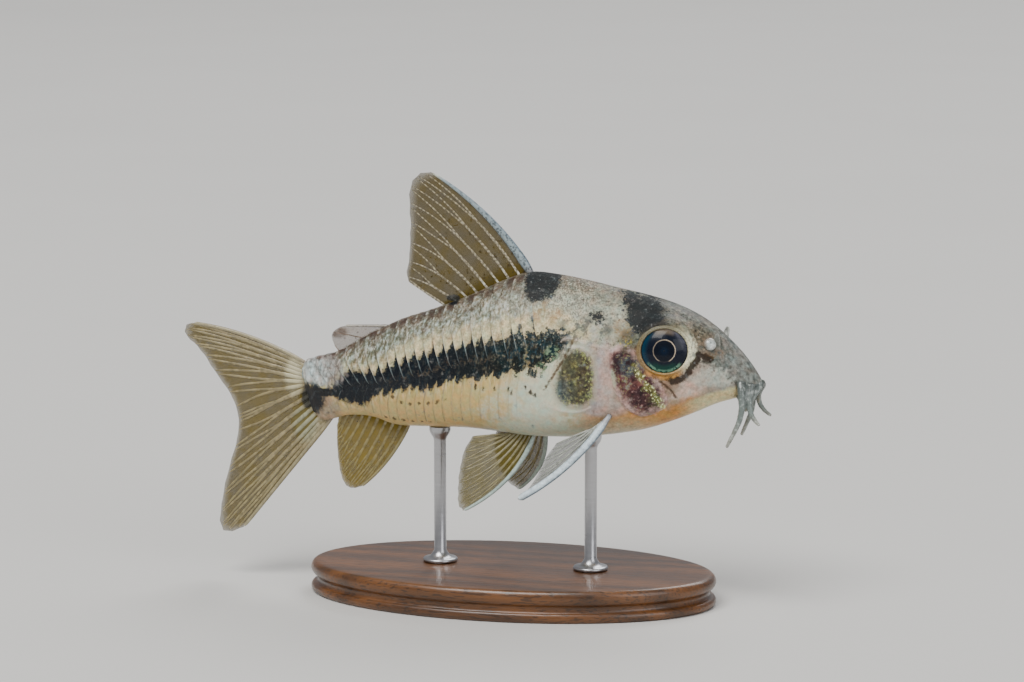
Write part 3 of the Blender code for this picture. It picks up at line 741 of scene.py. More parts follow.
class CatfishColours(bpy.types.PropertyGroup):
    back_fore: colour("Back, front", "Grey-beige of the nape", (0.345, 0.355, 0.29))
    back_rear: colour("Back, rear", "Grey-olive of the back before the tail", (0.185, 0.192, 0.15))
    stripe: colour("Stripe", "Cream above the dark band", (0.56, 0.51, 0.36))
    band: colour("Band", "Near-black band along the side", (0.004, 0.006, 0.009))
    flank: colour("Flank", "Tan under the band", (0.53, 0.43, 0.245))
    belly: colour("Belly", "Pale belly", (0.56, 0.575, 0.47))
    forehead: colour("Forehead", "Grey of the forehead and snout", (0.092, 0.092, 0.078))
    mask: colour("Mask", "Slate blotches on the nape and before the dorsal fin", (0.006, 0.008, 0.009))
    cheek: colour("Cheek", "Pinkish beige of the cheek", (0.36, 0.305, 0.26))
    throat: colour("Throat", "Orange of the throat", (0.44, 0.255, 0.125))
    lip: colour("Lip", "Pale yellow of the lower lip", (0.61, 0.55, 0.37))
    gill: colour("Gill", "Maroon of the gill cover", (0.036, 0.017, 0.019))
    gold: colour("Gold", "Gold-green glints on the gill cover and shoulder", (0.34, 0.37, 0.165))
    shoulder: colour("Shoulder", "Olive of the plate behind the gill opening", (0.052, 0.051, 0.033))
    iris: colour("Iris", "Navy of the iris", (0.004, 0.006, 0.012))
    pupil_ring: colour("Pupil ring", "Cream ring round the pupil", (0.5, 0.43, 0.35))
    orbit: colour("Orbit", "Olive-tan skin round the eye", (0.31, 0.245, 0.14))
    ray: colour("Fin ray", "Silvery beige of the fin rays", (0.3, 0.275, 0.22))
    web: colour("Fin web", "Smoky brown of the clear skin between the rays", (0.077, 0.059, 0.022))
    barbel: colour("Feeler", "Blue-grey of the feelers", (0.16, 0.182, 0.172))
    wood: colour("Wood", "Dark stained hardwood of the base", (0.075, 0.036, 0.018))
    steel: colour("Steel", "Brushed steel of the rods", (0.47, 0.47, 0.48))
    floor: colour("Floor", "Pale floor under the stand", (0.62, 0.615, 0.6))


def span(name):
    """A length set by the user, in millimetres."""
    return getattr(bpy.context.scene.catfish_sizes, name) / MM


def tint(name):
    return tuple(getattr(bpy.context.scene.catfish_colours, name))


# Skin


def flank_fields(x, z):
    """How far each point, seen from the side, lies inside, above or below each marking's edge."""
    top, foot = midline_height(x, 0.0), midline_height(x, math.pi)
    return {
        "tall": (z - foot) / np.maximum(top - foot, 0.3),
        "over_band": z - read_curve(BAND_TOP, x),
        "under_band": read_curve(BAND_FOOT, x) - z,
        "mask": np.maximum(depth_inside(x, z, NAPE_MASK), depth_inside(x, z, CHEEK_BLOTCH) - 0.15),
        "blotch": depth_inside(x, z, DORSAL_BLOTCH),
        "shoulder": depth_inside(x, z, SHOULDER_PLATE),
        "gill": depth_inside(x, z, GILL_COVER),
        "heart": depth_inside(x, z, GILL_HEART),
        "glitter": line_distance(x, z, GILL_GLITTER),
        "groove": np.minimum(line_distance(x, z, CHEEK_GROOVE[2:]), line_distance(x, z, SHOULDER_LINE)),
        "mouth": line_distance(x, z, MOUTH_LINE),
        "speck": np.minimum.reduce([np.hypot(1.4 * (x - a), 0.75 * (z - b)) for a, b in SPECKS]),
        "dark_line": np.minimum(line_distance(x, z, EYE_CRESCENT), line_distance(x, z, NOSTRIL_SLIT)),
        "pale_line": np.minimum(line_distance(x, z, SHOULDER_RIM), line_distance(x, z, SHOULDER_FOOT)),
        "face": read_curve(FACE_EDGE, x) - z,
        "lip": read_curve(LIP_EDGE, x) - z,
    }


def eye_frame(side):
    """Centre of an eye's ball, its axis, and the directions forwards and up across that axis."""
    flat = math.cos(EYE_RISE)
    axis = np.array([math.sin(EYE_TURN) * flat, side * math.cos(EYE_TURN) * flat, math.sin(EYE_RISE)])
    up = unit(np.array([0.0, 0.0, 1.0]) - axis * axis[2])
    centre = np.array(EYE_CENTRE) * (1.0, side, 1.0)
    return centre + axis * EYE_SEAT, axis, np.cross(up, axis) * -side, up


def eye_fields(points):
    """Each point's distance from its own side's eye axis, and how far ahead and aloft of it it lies."""
    away, ahead, aloft = (np.zeros(len(points)) for _ in range(3))
    for side in SIDES.values():
        here = (points[:, 1] < 0.0) == (side < 0.0)
        centre, _, forwards, up = eye_frame(side)
        gap = points[here] - centre
        across, rise = gap @ forwards, gap @ up
        radius = np.maximum(np.hypot(across, rise), 1e-6)
        away[here], ahead[here], aloft[here] = radius, across / radius, rise / radius
    return {"orbit": away, "ahead": ahead, "aloft": aloft}


def ball_height(radius):
    """Height of the eyeball's surface over its centre at this distance from the axis."""
    return EYE_DEPTH * np.sqrt(np.clip(1.0 - (radius / EYE_RADIUS) ** 2, 0.0, 1.0))


def lid_height(radius):
    """Height over the eyeball's centre of the eye's soft rim: smooth steps up to its crest and down."""
    seat = ball_height(LID_INNER) - 0.05
    inner = seat + 0.15 * ease(radius, LID_INNER, LID_CREST)
    return np.where(radius < LID_CREST, inner, seat + 0.15 - 0.2 * ease(radius, LID_CREST, LID_OUTER + 0.6))


def shape_head(points, normals):
    """The body's points moved for the folds, each a bell curve across its line, the gill covers and
    shoulder plates, each a smooth step across its outline, the lips and the eye sockets."""
    x, z = points[..., 0], points[..., 2]
    gill = depth_inside(x, z, GILL_COVER)
    lift = 0.13 * ease(gill, -0.12, 0.28) - 0.1 * hump(gill + 0.12, 0.16)
    lift += 0.08 * ease(depth_inside(x, z, SHOULDER_PLATE), -0.1, 0.25)
    for line, high, wide in FOLDS:
        lift += high * hump(line_distance(x, z, line), wide)
    lift += 0.03 * np.sin((x - 1.1 * z) * 5.0) * ease(gill, 0.1, 0.6)
    lift *= ease(np.abs(normals[..., 1]), 0.25, 0.7)
    mouth = line_distance(x, z, MOUTH_LINE)
    lift += ease(x, 22.9, 23.6) * (0.1 * hump(mouth - 0.42, 0.22) - 0.32 * hump(mouth, 0.14))
    shaped = points + normals * lift[..., None]
    for side in SIDES.values():
        centre, axis, _, _ = eye_frame(side)
        gap = shaped - centre
        height = gap @ axis
        radius = np.linalg.norm(gap - height[..., None] * axis, axis=-1)
        near = (points[..., 1] * side > 0.5) & (radius < 4.0)
        goal = np.where(radius < LID_CREST - 0.06, -0.3, lid_height(radius) - 0.04)
        weight = np.where(near, ease(radius, 3.9, 2.75), 0.0)
        shaped += axis * ((goal - height) * weight)[..., None]
    return shaped


def bare_skin(rows, around):
    """Points and outward normals of the skin before its folds, set in under the body's outline."""
    at, turn = np.meshgrid(station_at(rows), around, indexing="ij")
    points = body_points(at, turn)
    normals = grid_normals(points, np.stack([np.zeros_like(turn), -np.sin(turn), np.cos(turn)], -1))
    return points - normals * span("skin_inset"), normals


def end_rings(ring, reach, steps):
    """Rings that round off an end of the skin: quarter turns of an ellipse from its last ring."""
    middle = ring.mean(0)
    turns = 0.5 * math.pi * np.arange(1, steps + 1)[:, None] / (steps + 1)
    narrow = np.stack([np.ones_like(turns), np.cos(turns), 0.6 + 0.4 * np.cos(turns)], -1)
    rings = middle + (ring - middle) * narrow
    rings[..., 0] += reach * np.sin(turns)
    return rings


def skin_mesh():
    """The whole skin: rings from the snout to the tail fin's base, with rounded ends. Its unwrap is the turn
    round the body by the rings' order, cut along the back."""
    columns, beyond = 336, 3
    head = np.linspace(25.62, 9.0, 158, endpoint=False)
    rows = np.concatenate([head, np.linspace(9.0, -21.85, 118)])
    around = np.arange(-beyond, columns + beyond) * TURN / columns
    points, normals = bare_skin(rows, around)
    points = shape_head(points[:, beyond:-beyond], normals[:, beyond:-beyond])
    grid = np.concatenate([end_rings(points[0], 0.13, 4)[::-1], points, end_rings(points[-1], -0.35, 5)])
    poles = np.stack([grid[0].mean(0) + (0.01, 0, 0), grid[-1].mean(0) - (0.01, 0, 0)])
    count = len(grid)
    flat = np.concatenate([grid.reshape(-1, 3), poles])
    faces = ring_faces(count, columns)
    fields = flank_fields(flat[:, 0], flat[:, 2]) | eye_fields(flat)
    turn = np.append(np.tile(np.arange(columns) / columns, count), [0.5, 0.5])
    share = np.append(np.repeat(np.linspace(0.01, 0.99, count), columns), [0.0, 1.0])
    corner = np.stack([0.01 + 0.98 * turn, share], -1)[faces]
    across = corner[..., 0].max(1) - corner[..., 0].min(1) > 0.5
    corner[across, :, 0] = np.where(corner[across, :, 0] < 0.25, 0.99, corner[across, :, 0])
    return swung(flat), facing_out(flat, faces), fields, corner


def back_colour(look, over, tall, rearwards):
    """Grey-beige back with silver streaks, partly a painted sheen, dark streaks, a brown crest and freckles,
    over a cream stripe.
    """
    streaks = look.streaks
    striped = (over + look.stray(patch=1.2) + look.x.ease(-9.0, -16.0) * 1.1).ease(2.5, 0.7)
    dust = look.noise(6.5, 1.0, 0.5, stretch=(1.0, 1.0, 0.6))
    freckles = (dust * 0.75 + look.fine * 0.25).ease(0.5, 0.72) * over.ease(0.1, 1.6)
    return look.layers(
        look.mix(look.x.ease(-13.0, 8.0), tint("back_rear"), tint("back_fore")),
        # Silvery streaks: the skin's silver, partly a painted sheen.
        (streaks.ease(0.48, 0.7) * rearwards * 0.75, (0.5, 0.54, 0.5)),
        (streaks.ease(0.48, 0.28) * rearwards * 0.7, (0.085, 0.083, 0.065)),
        (striped, tint("stripe")),
        (streaks.ease(0.4, 0.12) * rearwards * 0.35, (0.16, 0.14, 0.08)),
        ((tall + look.stray(patch=0.16)).ease(0.83, 0.98) * 0.75, (0.085, 0.062, 0.047)),
        (freckles * (1.0 - rearwards * 0.65) * 0.62, (0.045, 0.04, 0.032)),
        (dust.ease(0.42, 0.2) * (1.0 - rearwards * 0.6) * 0.35, (0.66, 0.64, 0.54)),
    )


def flank_colour(look, under, tall, fade):
    """Tan flank, streaked under the band, which passes into a clouded pale belly in front; painted light
    pales the underside.
    """
    patch, streaks = look.patch, look.streaks
    near = under.ease(1.8, 0.1) * fade
    clouds = look.oval("belly clouds") * (patch * 0.8 + look.grain * 0.2).ease(0.25, 0.85)
    pale = (look.x + under * 0.3 + look.stray(patch=2.0)).ease(-1.5, 5.0)
    return look.layers(
        look.mix(pale, tint("flank"), tint("belly")),
        (streaks.ease(0.48, 0.75) * near * 0.5, (0.7, 0.65, 0.5)),
        (streaks.ease(0.46, 0.24) * near * 0.42, (0.27, 0.2, 0.11)),
        (clouds * 0.9, (0.56, 0.61, 0.53)),
        (look.oval("belly tan") * patch.ease(0.3, 0.6) * 0.55, (0.42, 0.31, 0.16)),
        # Painted light: the underside made paler, belly-white in front and warm pale behind, to lift its
        # shade.
        (tall.ease(0.22, 0.0) * look.x.ease(-5.0, 2.0) * 0.6, tint("belly")),
        (tall.ease(0.3, 0.05) * look.x.ease(0.0, -5.0) * 0.6, (0.68, 0.56, 0.36)),
    )


def plate_colour(look, ground, over, under, fade):
    """Each plate's pale edge, partly a painted highlight, a gap in painted shadow, painted light on that
    shadow lower down, a brown crown by the back with a painted glint behind it, and dots.
    """
    grain, up, chance = look.grain, look.field("up"), look.field("chance")
    seen, above = look.field("front") * 1.4, over.ease(0.5, 1.5)
    # Pale rear edges: silvery colour, partly a painted highlight along each edge.
    edge = look.field("front").ease(0.1, 0.03) * under.ease(-0.2, -0.6) * fade
    edge = edge * (over.ease(1.3, 0.2) * 0.5 + look.streaks.ease(0.4, 0.7) * 0.45)
    # Painted shadow: darker where the plate ahead overhangs the front of each plate.
    gap = seen.ease(0.75, 1.0) * (chance * 0.8 + 0.4) * (over.ease(2.6, 0.3) * 0.5 + 0.25)
    crown = up.ease(0.6, 0.86) * seen.ease(0.1, 0.45) * above
    crown = crown * (chance * 0.4 + look.patch * 0.3 + grain * 0.4).ease(0.38, 0.62)
    glint = up.ease(0.55, 0.8) * seen.ease(0.35, 0.05) * above
    return look.layers(
        ground,
        (edge, (0.68, 0.68, 0.6)),
        (gap * grain.ease(0.1, 0.6) * fade, (0.05, 0.045, 0.035)),
        # Painted light: paler where each plate's edge casts its shadow on the next, on the lower flank.
        (seen.ease(0.86, 1.0) * under.ease(-0.1, 0.4) * 0.55, (0.76, 0.66, 0.46)),
        (crown * 0.85, (0.042, 0.028, 0.024)),
        (glint * grain.ease(0.55, 0.8) * 0.6, (0.66, 0.66, 0.62)),
        ((look.field("dot") + look.stray(fine=0.2)).ease(0.28, 0.12) * 0.8, (0.035, 0.028, 0.02)),
    )


def band_share(look, plates, over, under, fore):
    """1 inside the dark band, between its two ragged lines. Each plate draws both lines out to a tooth."""
    tooth_up, tooth_down = 0.0, 0.0
    if plates:
        seen, chance = look.field("front") * 1.4, look.field("chance")
        calm = look.x.ease(-17.5, -12.5) * 0.6 + 0.4
        tooth_up = (seen * seen * (chance * 0.6 + 0.5) - 0.22) * (1.0 - fore * 0.4) * calm
        tooth_down = (chance * 0.45 + 0.05 - ((seen - 0.45) * 2.0).size() ** 3.0 * 0.6) * calm
    ragged = look.stray(grain=fore * 1.1 + 0.55, patch=fore * 1.3 + 0.45, fine=0.5)
    inside = (tooth_up - over).least(tooth_down - under) + ragged
    return inside.ease(-0.2, 0.32) * look.x.ease(8.2, 6.8)


def band_ink(look, plates, over, fore, fade):
    """The band's near-black with blue, brown and pale flecks, pale plate edges that are partly a painted
    highlight, a brown seam between the rows of plates and an upright brown bar in front."""
    grain, fine, patch, streaks = look.grain, look.fine, look.patch, look.streaks
    ink = look.layers(
        look.mix(look.x.ease(-9.0, 3.0), tint("band"), (0.01, 0.012, 0.011)),
        (streaks.ease(0.5, 0.85) * (fore * 0.8 + 0.2), (0.026, 0.048, 0.06)),
        (patch.ease(0.45, 0.8) * fore * 0.7, (0.009, 0.024, 0.027)),
        ((grain * 0.6 + streaks * 0.4).ease(0.56, 0.78) * (fore * 0.7 + 0.1), (0.17, 0.155, 0.11)),
        (fine.ease(0.66, 0.95) * (fore * patch.ease(0.4, 0.7) * 0.6 + 0.06), (0.36, 0.37, 0.31)),
    )
    if plates:
        # Pale plate edges in the band: silvery colour, partly a painted highlight.
        edge = look.field("front").ease(0.16, 0.02) * over.ease(-2.6, -0.4)
        seam = look.field("up").ease(0.14, 0.02) * (grain * 0.5 + fine * 0.5).ease(0.46, 0.66)
        ink = look.layers(
            ink,
            (edge * (streaks * 0.8 + look.field("chance") * 0.3), (0.28, 0.32, 0.32)),
            (seam * look.x.ease(-15.0, -8.0) * fade * 0.4, (0.13, 0.105, 0.075)),
        )
    bar = (look.x - 3.0 + look.stray(patch=0.8)).size().ease(0.24, 0.04)
    bar = bar * (look.z - 25.1).size().ease(1.9, 1.1)
    return look.mix(bar * grain.ease(0.1, 0.6) * 0.6, ink, (0.26, 0.22, 0.14))


def body_colour(look, plates):
    """Back over flank, mottled more coarsely above, with the plates' marks, the dark band and its specks."""
    over, under, tall = look.field("over_band"), look.field("under_band"), look.field("tall")
    fore, rearwards = look.x.ease(-5.0, 5.0), look.x.ease(7.0, 0.0)
    fade = 1.0 - fore * 0.6
    upper, lower = back_colour(look, over, tall, rearwards), flank_colour(look, under, tall, fade)
    coarse = under.ease(0.8, -0.6)
    ground = look.mix(under.ease(-0.7, 0.1), upper, lower)
    ground = look.mottle(ground, grain=coarse * 0.6 + 0.25, fine=coarse * 0.45 + 0.15)
    if plates:
        ground = plate_colour(look, ground, over, under, fade)
    return look.layers(
        ground,
        (band_share(look, plates, over, under, fore), band_ink(look, plates, over, fore, fade)),
        ((look.field("speck") + look.stray(grain=0.22)).ease(0.3, 0.12) * 0.92, (0.018, 0.015, 0.012)),
    )


def head_colour(look, skin):
    """Grey forehead and snout, pinkish cheek, orange throat, pale lip and pink collar."""
    grain, patch, x = look.grain, look.patch, look.x
    face, lip, tall = look.field("face"), look.field("lip"), look.field("tall")
    specks = (look.cells(3.2) + look.stray(fine=0.3)).ease(0.38, 0.18)
    nose = x.ease(20.0, 23.5)
    edge = tall.ease(0.84, 0.97) + look.stray(patch=0.4)
    top = look.layers(
        look.mix(x.ease(12.0, 16.0), tint("back_fore"), tint("forehead")),
        (grain.ease(0.5, 0.8) * 0.5, (0.22, 0.215, 0.18)),
        (look.oval("brow") * 0.45, (0.15, 0.12, 0.08)),
        (look.oval("round nostril") * grain.ease(0.3, 0.7) * 0.5, (0.15, 0.11, 0.08)),
        (specks * (patch.ease(0.3, 0.7) * 0.5 + 0.35) * (1.0 - nose * 0.7), (0.03, 0.028, 0.026)),
        (nose * (grain * 0.5 + 0.25), (0.25, 0.265, 0.25)),
        # Painted highlight: paler blue-grey along the top of the head from the forehead forwards.
        (edge * x.ease(14.0, 19.0) * 0.5, (0.115, 0.125, 0.12)),
        (edge * x.ease(15.0, 11.0) * 0.6, (0.115, 0.092, 0.075)),
    )
    throat = x.ease(22.0, 18.0) * (lip + look.stray(patch=0.9)).ease(-0.9, 0.4)
    cheek = look.layers(
        look.mix(x.ease(17.0, 21.5), tint("cheek"), (0.3, 0.28, 0.245)),
        (look.oval("cheek pale") * (patch * 0.5 + 0.5), (0.6, 0.51, 0.45)),
        (look.oval("cheek brown") * 0.65, (0.19, 0.125, 0.08)),
        (look.oval("cheek rosy") * 0.45, (0.44, 0.31, 0.26)),
        (look.oval("snout side") * 0.7, (0.45, 0.47, 0.42)),
        (specks * (face + look.stray(patch=1.2)).ease(1.9, 0.0) * 0.65, (0.08, 0.07, 0.06)),
        (throat * (x.ease(8.5, 14.0) * 0.4 + 0.55), tint("throat")),
        (x.ease(17.4, 20.4) * (lip + look.stray(patch=0.3)).ease(-0.12, 0.3), tint("lip")),
        (x.ease(17.0, 12.0) * tall.ease(0.2, 0.02) * 0.7, tint("belly")),
    )
    front = look.mix((face + look.stray(grain=0.9, patch=0.5)).ease(-0.5, 0.7), top, cheek)
    strength = face.ease(0.9, -0.3) * (1.0 - nose * 0.7)
    front = look.mottle(front, grain=strength * 0.7 + 0.55, fine=strength * 0.6 + 0.4)
    begun = (x + look.stray(grain=1.5) + face.ease(-0.5, 0.5)).ease(8.0, 11.0)
    collar = look.oval("collar").most(look.oval("collar foot"))
    pink = look.mix(patch, (0.52, 0.4, 0.36), (0.34, 0.3, 0.27))
    pink = look.mix(x.ease(10.9, 10.1) * 0.6, pink, (0.36, 0.35, 0.36))
    pink = look.mottle(pink, patch=0.6, grain=0.5, fine=0.35)
    return look.layers(skin, (begun, front), (collar * 0.85, pink))


def shoulder_colour(look, skin, dust):
    """The olive plate behind the gill opening, slate at its rear, with a pale rim and gold-green dust."""
    fine, patch = look.fine, look.patch
    inside = look.field("shoulder") + look.stray(grain=0.6, patch=0.4)
    slate = look.x.ease(8.3, 6.6) * look.z.ease(24.8, 22.0)
    edge = inside.ease(1.5, 0.35) * look.x.ease(7.0, 8.6).most(look.z.ease(23.0, 21.5))
    lit = dust * (edge * 0.5 + patch.ease(0.45, 0.75) * (1.0 - slate) * 0.22)
    olive = look.layers(
        tint("shoulder"),
        (slate, (0.045, 0.06, 0.066)),
        (patch.ease(0.5, 0.8) * (1.0 - slate), (0.1, 0.095, 0.05)),
        (look.oval("shoulder core") * (patch * 0.5 + 0.5), (0.04, 0.032, 0.022)),
    )
    olive = look.layers(
        look.mottle(olive, grain=1.5, fine=1.1),
        (lit, tint("gold")),
        (lit * fine.ease(0.68, 0.86) * 0.6, (0.62, 0.66, 0.4)),
    )
    rim = look.mix(look.z.ease(25.0, 27.0), (0.36, 0.35, 0.28), (0.44, 0.45, 0.41))
    return look.layers(skin, (inside.ease(-0.45, 0.05) * 0.45, rim), (inside.ease(0.0, 0.7) * 0.95, olive))


def gill_colour(look, skin, dust):
    """The gill cover: rosy skin round a maroon window under pale flecks, with a gold-green streak."""
    grain, fine, patch = look.grain, look.fine, look.patch
    flecks = fine.ease(0.66, 0.9) * (grain.ease(0.35, 0.75) * 0.5 + 0.1)
    maroon = look.layers(
        look.mottle(tint("gill"), grain=1.4, fine=1.0),
        (look.oval("gill black") * 0.6, (0.012, 0.01, 0.012)),
        (patch.ease(0.5, 0.85) * 0.8, (0.13, 0.062, 0.06)),
        (look.oval("gill murk") * (patch * 0.6 + grain * 0.5).ease(0.4, 0.7) * 0.8, (0.06, 0.075, 0.08)),
        (look.oval("gill olive") * grain.ease(0.25, 0.65) * 0.8, (0.07, 0.068, 0.04)),
        (flecks * look.x.ease(12.4, 14.2), (0.44, 0.34, 0.31)),
        (look.oval("gill red") * patch.ease(0.3, 0.7) * 0.7, (0.15, 0.08, 0.072)),
        (dust * patch.ease(0.5, 0.72) * 0.55, (0.26, 0.26, 0.15)),
    )
    rosy = look.mix(patch, (0.5, 0.39, 0.37), (0.34, 0.255, 0.225))
    glitter = (look.field("glitter") + look.stray(patch=0.7, grain=0.5)).ease(0.48, 0.1)
    flap = look.layers(
        look.mottle(rosy, grain=0.8, fine=0.6),
        (look.oval("gill rim") * 0.7, (0.44, 0.48, 0.37)),
        ((look.field("heart") + look.stray(grain=0.9, patch=0.6)).ease(-0.4, 0.45), maroon),
        (glitter * (dust * 0.35 + grain * 0.75).least(1.0), tint("gold")),
        (glitter * fine.ease(0.54, 0.78) * 0.9, (0.88, 0.92, 0.62)),
    )
    return look.mix((look.field("gill") + look.stray(fine=0.3)).ease(-0.12, 0.12), skin, flap)


def nape_colour(look, skin):
    """Warm tints on the nape, the bony grey skin behind the eye and the green glow at the band's front."""
    grain, fine = look.grain, look.fine
    warm = look.oval("warm back").most(look.oval("warm nape") * 0.8)
    bony, knobs = look.oval("bony"), look.cells(0.95) + look.stray(grain=0.25)
    green = look.oval("green upper").most(look.oval("green lower"))
    return look.layers(
        skin,
        (warm * look.patch.ease(0.25, 0.7) * 0.6, (0.3, 0.2, 0.1)),
        (look.oval("behind eye") * (grain * 0.5 + fine * 0.5).ease(0.25, 0.55) * 0.85, (0.06, 0.052, 0.032)),
        (look.oval("gold spark") * grain.ease(0.5, 0.72) * 0.8, (0.52, 0.45, 0.17)),
        (bony * knobs.ease(0.55, 0.15) * 0.4, (0.44, 0.45, 0.44)),
        (bony * (knobs + look.stray(fine=0.4)).ease(0.5, 0.76) * 0.8, (0.05, 0.052, 0.048)),
        (green * (grain * 0.7 + fine * 0.5).ease(0.5, 0.8) * 0.65, (0.22, 0.29, 0.2)),
    )


def orbit_colour(look, skin):
    """Skin round the eye: olive-tan, cream in front, brown behind, greyer above under painted shade at the
    upper rear, and orange below.
    """
    ahead, aloft = look.field("ahead"), look.field("aloft")
    tan = look.layers(
        tint("orbit"),
        (ahead.ease(0.35, 0.85), (0.9, 0.88, 0.7)),
        (aloft.ease(0.2, 0.8) * 0.8, (0.17, 0.17, 0.13)),
        # Painted shade over the upper rear of the ring.
        ((aloft * 0.8 - ahead * 0.6).ease(0.35, 0.8), (0.035, 0.034, 0.028)),
        (ahead.ease(-0.45, -0.85) * aloft.ease(0.4, -0.1), (0.19, 0.125, 0.085)),
        (aloft.ease(-0.45, -0.9), (0.33, 0.19, 0.085)),
    )
    bright = ahead.ease(0.5, 0.95)
    ring = (look.field("orbit") - bright * 0.22 + look.stray(grain=0.6, patch=0.4)).ease(3.1, 2.66)
    return look.mix(ring * 0.85, skin, look.mottle(tan, grain=1.3 - bright * 0.8, fine=1.0 - bright * 0.6))


def line_colour(look, skin):
    """The dark crescent and slit before the eye, painted shade under the nostril, a painted shadow line by
    the mouth, painted shade along the grooves, and the shoulder's pale lines.
    """
    crescent = (look.field("dark_line") + look.stray(grain=0.2, fine=0.12)).ease(0.42, 0.2)
    return look.layers(
        skin,
        (crescent * look.field("orbit").ease(2.55, 2.72) * 0.95, (0.022, 0.015, 0.01)),
        # Painted shade below the nostril, brownish.
        (look.oval("under nostril") * look.grain.ease(0.3, 0.7) * 0.6, (0.1, 0.06, 0.032)),
        # Painted shadow line between the lip's front end and the feelers, by the mouth.
        ((look.field("mouth") + look.stray(fine=0.1)).ease(0.28, 0.05) * 0.4, (0.07, 0.075, 0.075)),
        # Painted shade along the cheek groove and the shoulder line, which are carved into the skin.
        ((look.field("groove") + look.stray(fine=0.14)).ease(0.2, 0.04) * 0.85, (0.055, 0.035, 0.022)),
        ((look.field("pale_line") + look.stray(fine=0.2)).ease(0.15, 0.03) * 0.5, (0.66, 0.62, 0.56)),
    )


def slate_marks(look):
    """Where the nape's and back's slate blotches lie, with speckled edges."""
    blotch = look.field("blotch") + 0.1 - look.stray(grain=0.5) * look.x.ease(4.0, 2.0)
    marks = (look.field("mask") + look.stray(grain=0.5)).most(blotch) + look.stray(grain=0.7, fine=0.6)
    return marks.ease(-0.15, 0.35) * 0.98


def slate_ink(look):
    """Blue-black slate with a few fine pale lines and specks."""
    net = (look.noise(0.8, 2.0, 0.5) - 0.5).size().ease(0.016, 0.0)
    ink = look.layers(
        tint("mask"),
        (net * 0.25, (0.14, 0.145, 0.14)),
        (look.grain.ease(0.6, 0.85) * 0.4, (0.035, 0.04, 0.04)),
        (look.fine.ease(0.92, 1.0) * 0.6, (0.4, 0.41, 0.4)),
    )
    return look.mottle(ink, grain=1.0)


def tail_marks(look, skin):
    """Lilac-grey before the tail fin, a white patch at its base over a dark spot, all ragged at their edges,
    and a small dark mark behind the dorsal fin."""
    patch, rough = look.patch, look.stray(grain=0.8, patch=0.6)
    smoky = look.mottle(look.mix(patch, (0.22, 0.19, 0.17), (0.36, 0.29, 0.24)), grain=1.1, fine=0.8)
    lilac = look.mottle(look.mix(patch, (0.2, 0.185, 0.18), (0.3, 0.285, 0.27)), streaks=1.2, fine=0.8)
    dark = look.mix(look.grain.ease(0.6, 0.9) * 0.4, tint("band"), (0.05, 0.058, 0.062))
    spot = (look.oval("tail spot") + look.oval("tail spot bridge") * 0.8).most(look.oval("behind dorsal"))
    white = (look.oval("tail white") + rough * 0.8).ease(0.15, 1.25)
    return look.layers(
        skin,
        ((look.oval("tail smoke") + rough * 0.4).ease(0.1, 0.9) * 0.75, smoky),
        ((look.oval("tail lilac") + rough * 0.8).ease(0.1, 0.9) * 0.75, lilac),
        (white * 0.8, look.mottle((0.53, 0.58, 0.57), grain=1.1, streaks=1.0)),
        ((spot + rough * 0.8).ease(0.12, 0.82) * 0.98, look.mottle(dark, grain=1.0)),
    )


def skin_look(name, plates=False):
    """Wet skin or wet bony plates, with the same markings, fine relief and an uneven gloss."""
    look = Finish(name, specular_ior_level=0.22, coat_roughness=0.08)
    look.grain, look.fine = look.noise(1.9, 3.0, 0.62), look.noise(3.9, 2.0, 0.6)
    look.patch, look.streaks = look.noise(0.9, 3.0, 0.6), look.noise(3.4, 3.0, 0.6, stretch=(1.0, 1.0, 0.16))
    slate = slate_marks(look)
    skin = body_colour(look, plates)
    if not plates:
        dust = (look.fine * 0.65 + look.grain * 0.35).ease(0.53, 0.64)
        skin = gill_colour(look, shoulder_colour(look, head_colour(look, skin), dust), dust)
        skin = nape_colour(look, skin)
    skin = look.mix(slate, skin, slate_ink(look))
    if not plates:
        skin = line_colour(look, orbit_colour(look, skin))
    skin = tail_marks(look, skin)
    look.link("Base Color", look.tinge(skin, look.noise(1.3, 2.0, 0.5)))
    coarse = look.field("under_band").ease(1.2, -0.4) * 0.7 + 0.3
    top = look.field("tall").ease(0.55, 0.85)
    look.link("Roughness", 0.42 - coarse * 0.12 + look.stray(grain=0.25) + top * 0.1 + slate * 0.25)
    look.link("Coat Weight", 0.11 - top.most(slate) * 0.09)
    relief = look.fine * 0.5 + look.grain * 0.35 + look.streaks * 0.9
    look.link("Normal", look.bump(relief * coarse, 0.045, 0.9))
    return look.material


class CATFISH_OT_skin(bpy.types.Operator):
    """Builds the one skin over head, gill covers, trunk and tail"""

    bl_idname = "catfish.skin"
    bl_label = "Skin"

    def execute(self, context):
        nodes = ("head", "trunk", "tail", "gill_cover_left", "gill_cover_right")
        finish_piece(make_piece("skin", *skin_mesh()), skin_look("wet skin"), "skin", *nodes)
        return {"FINISHED"}


# Plates


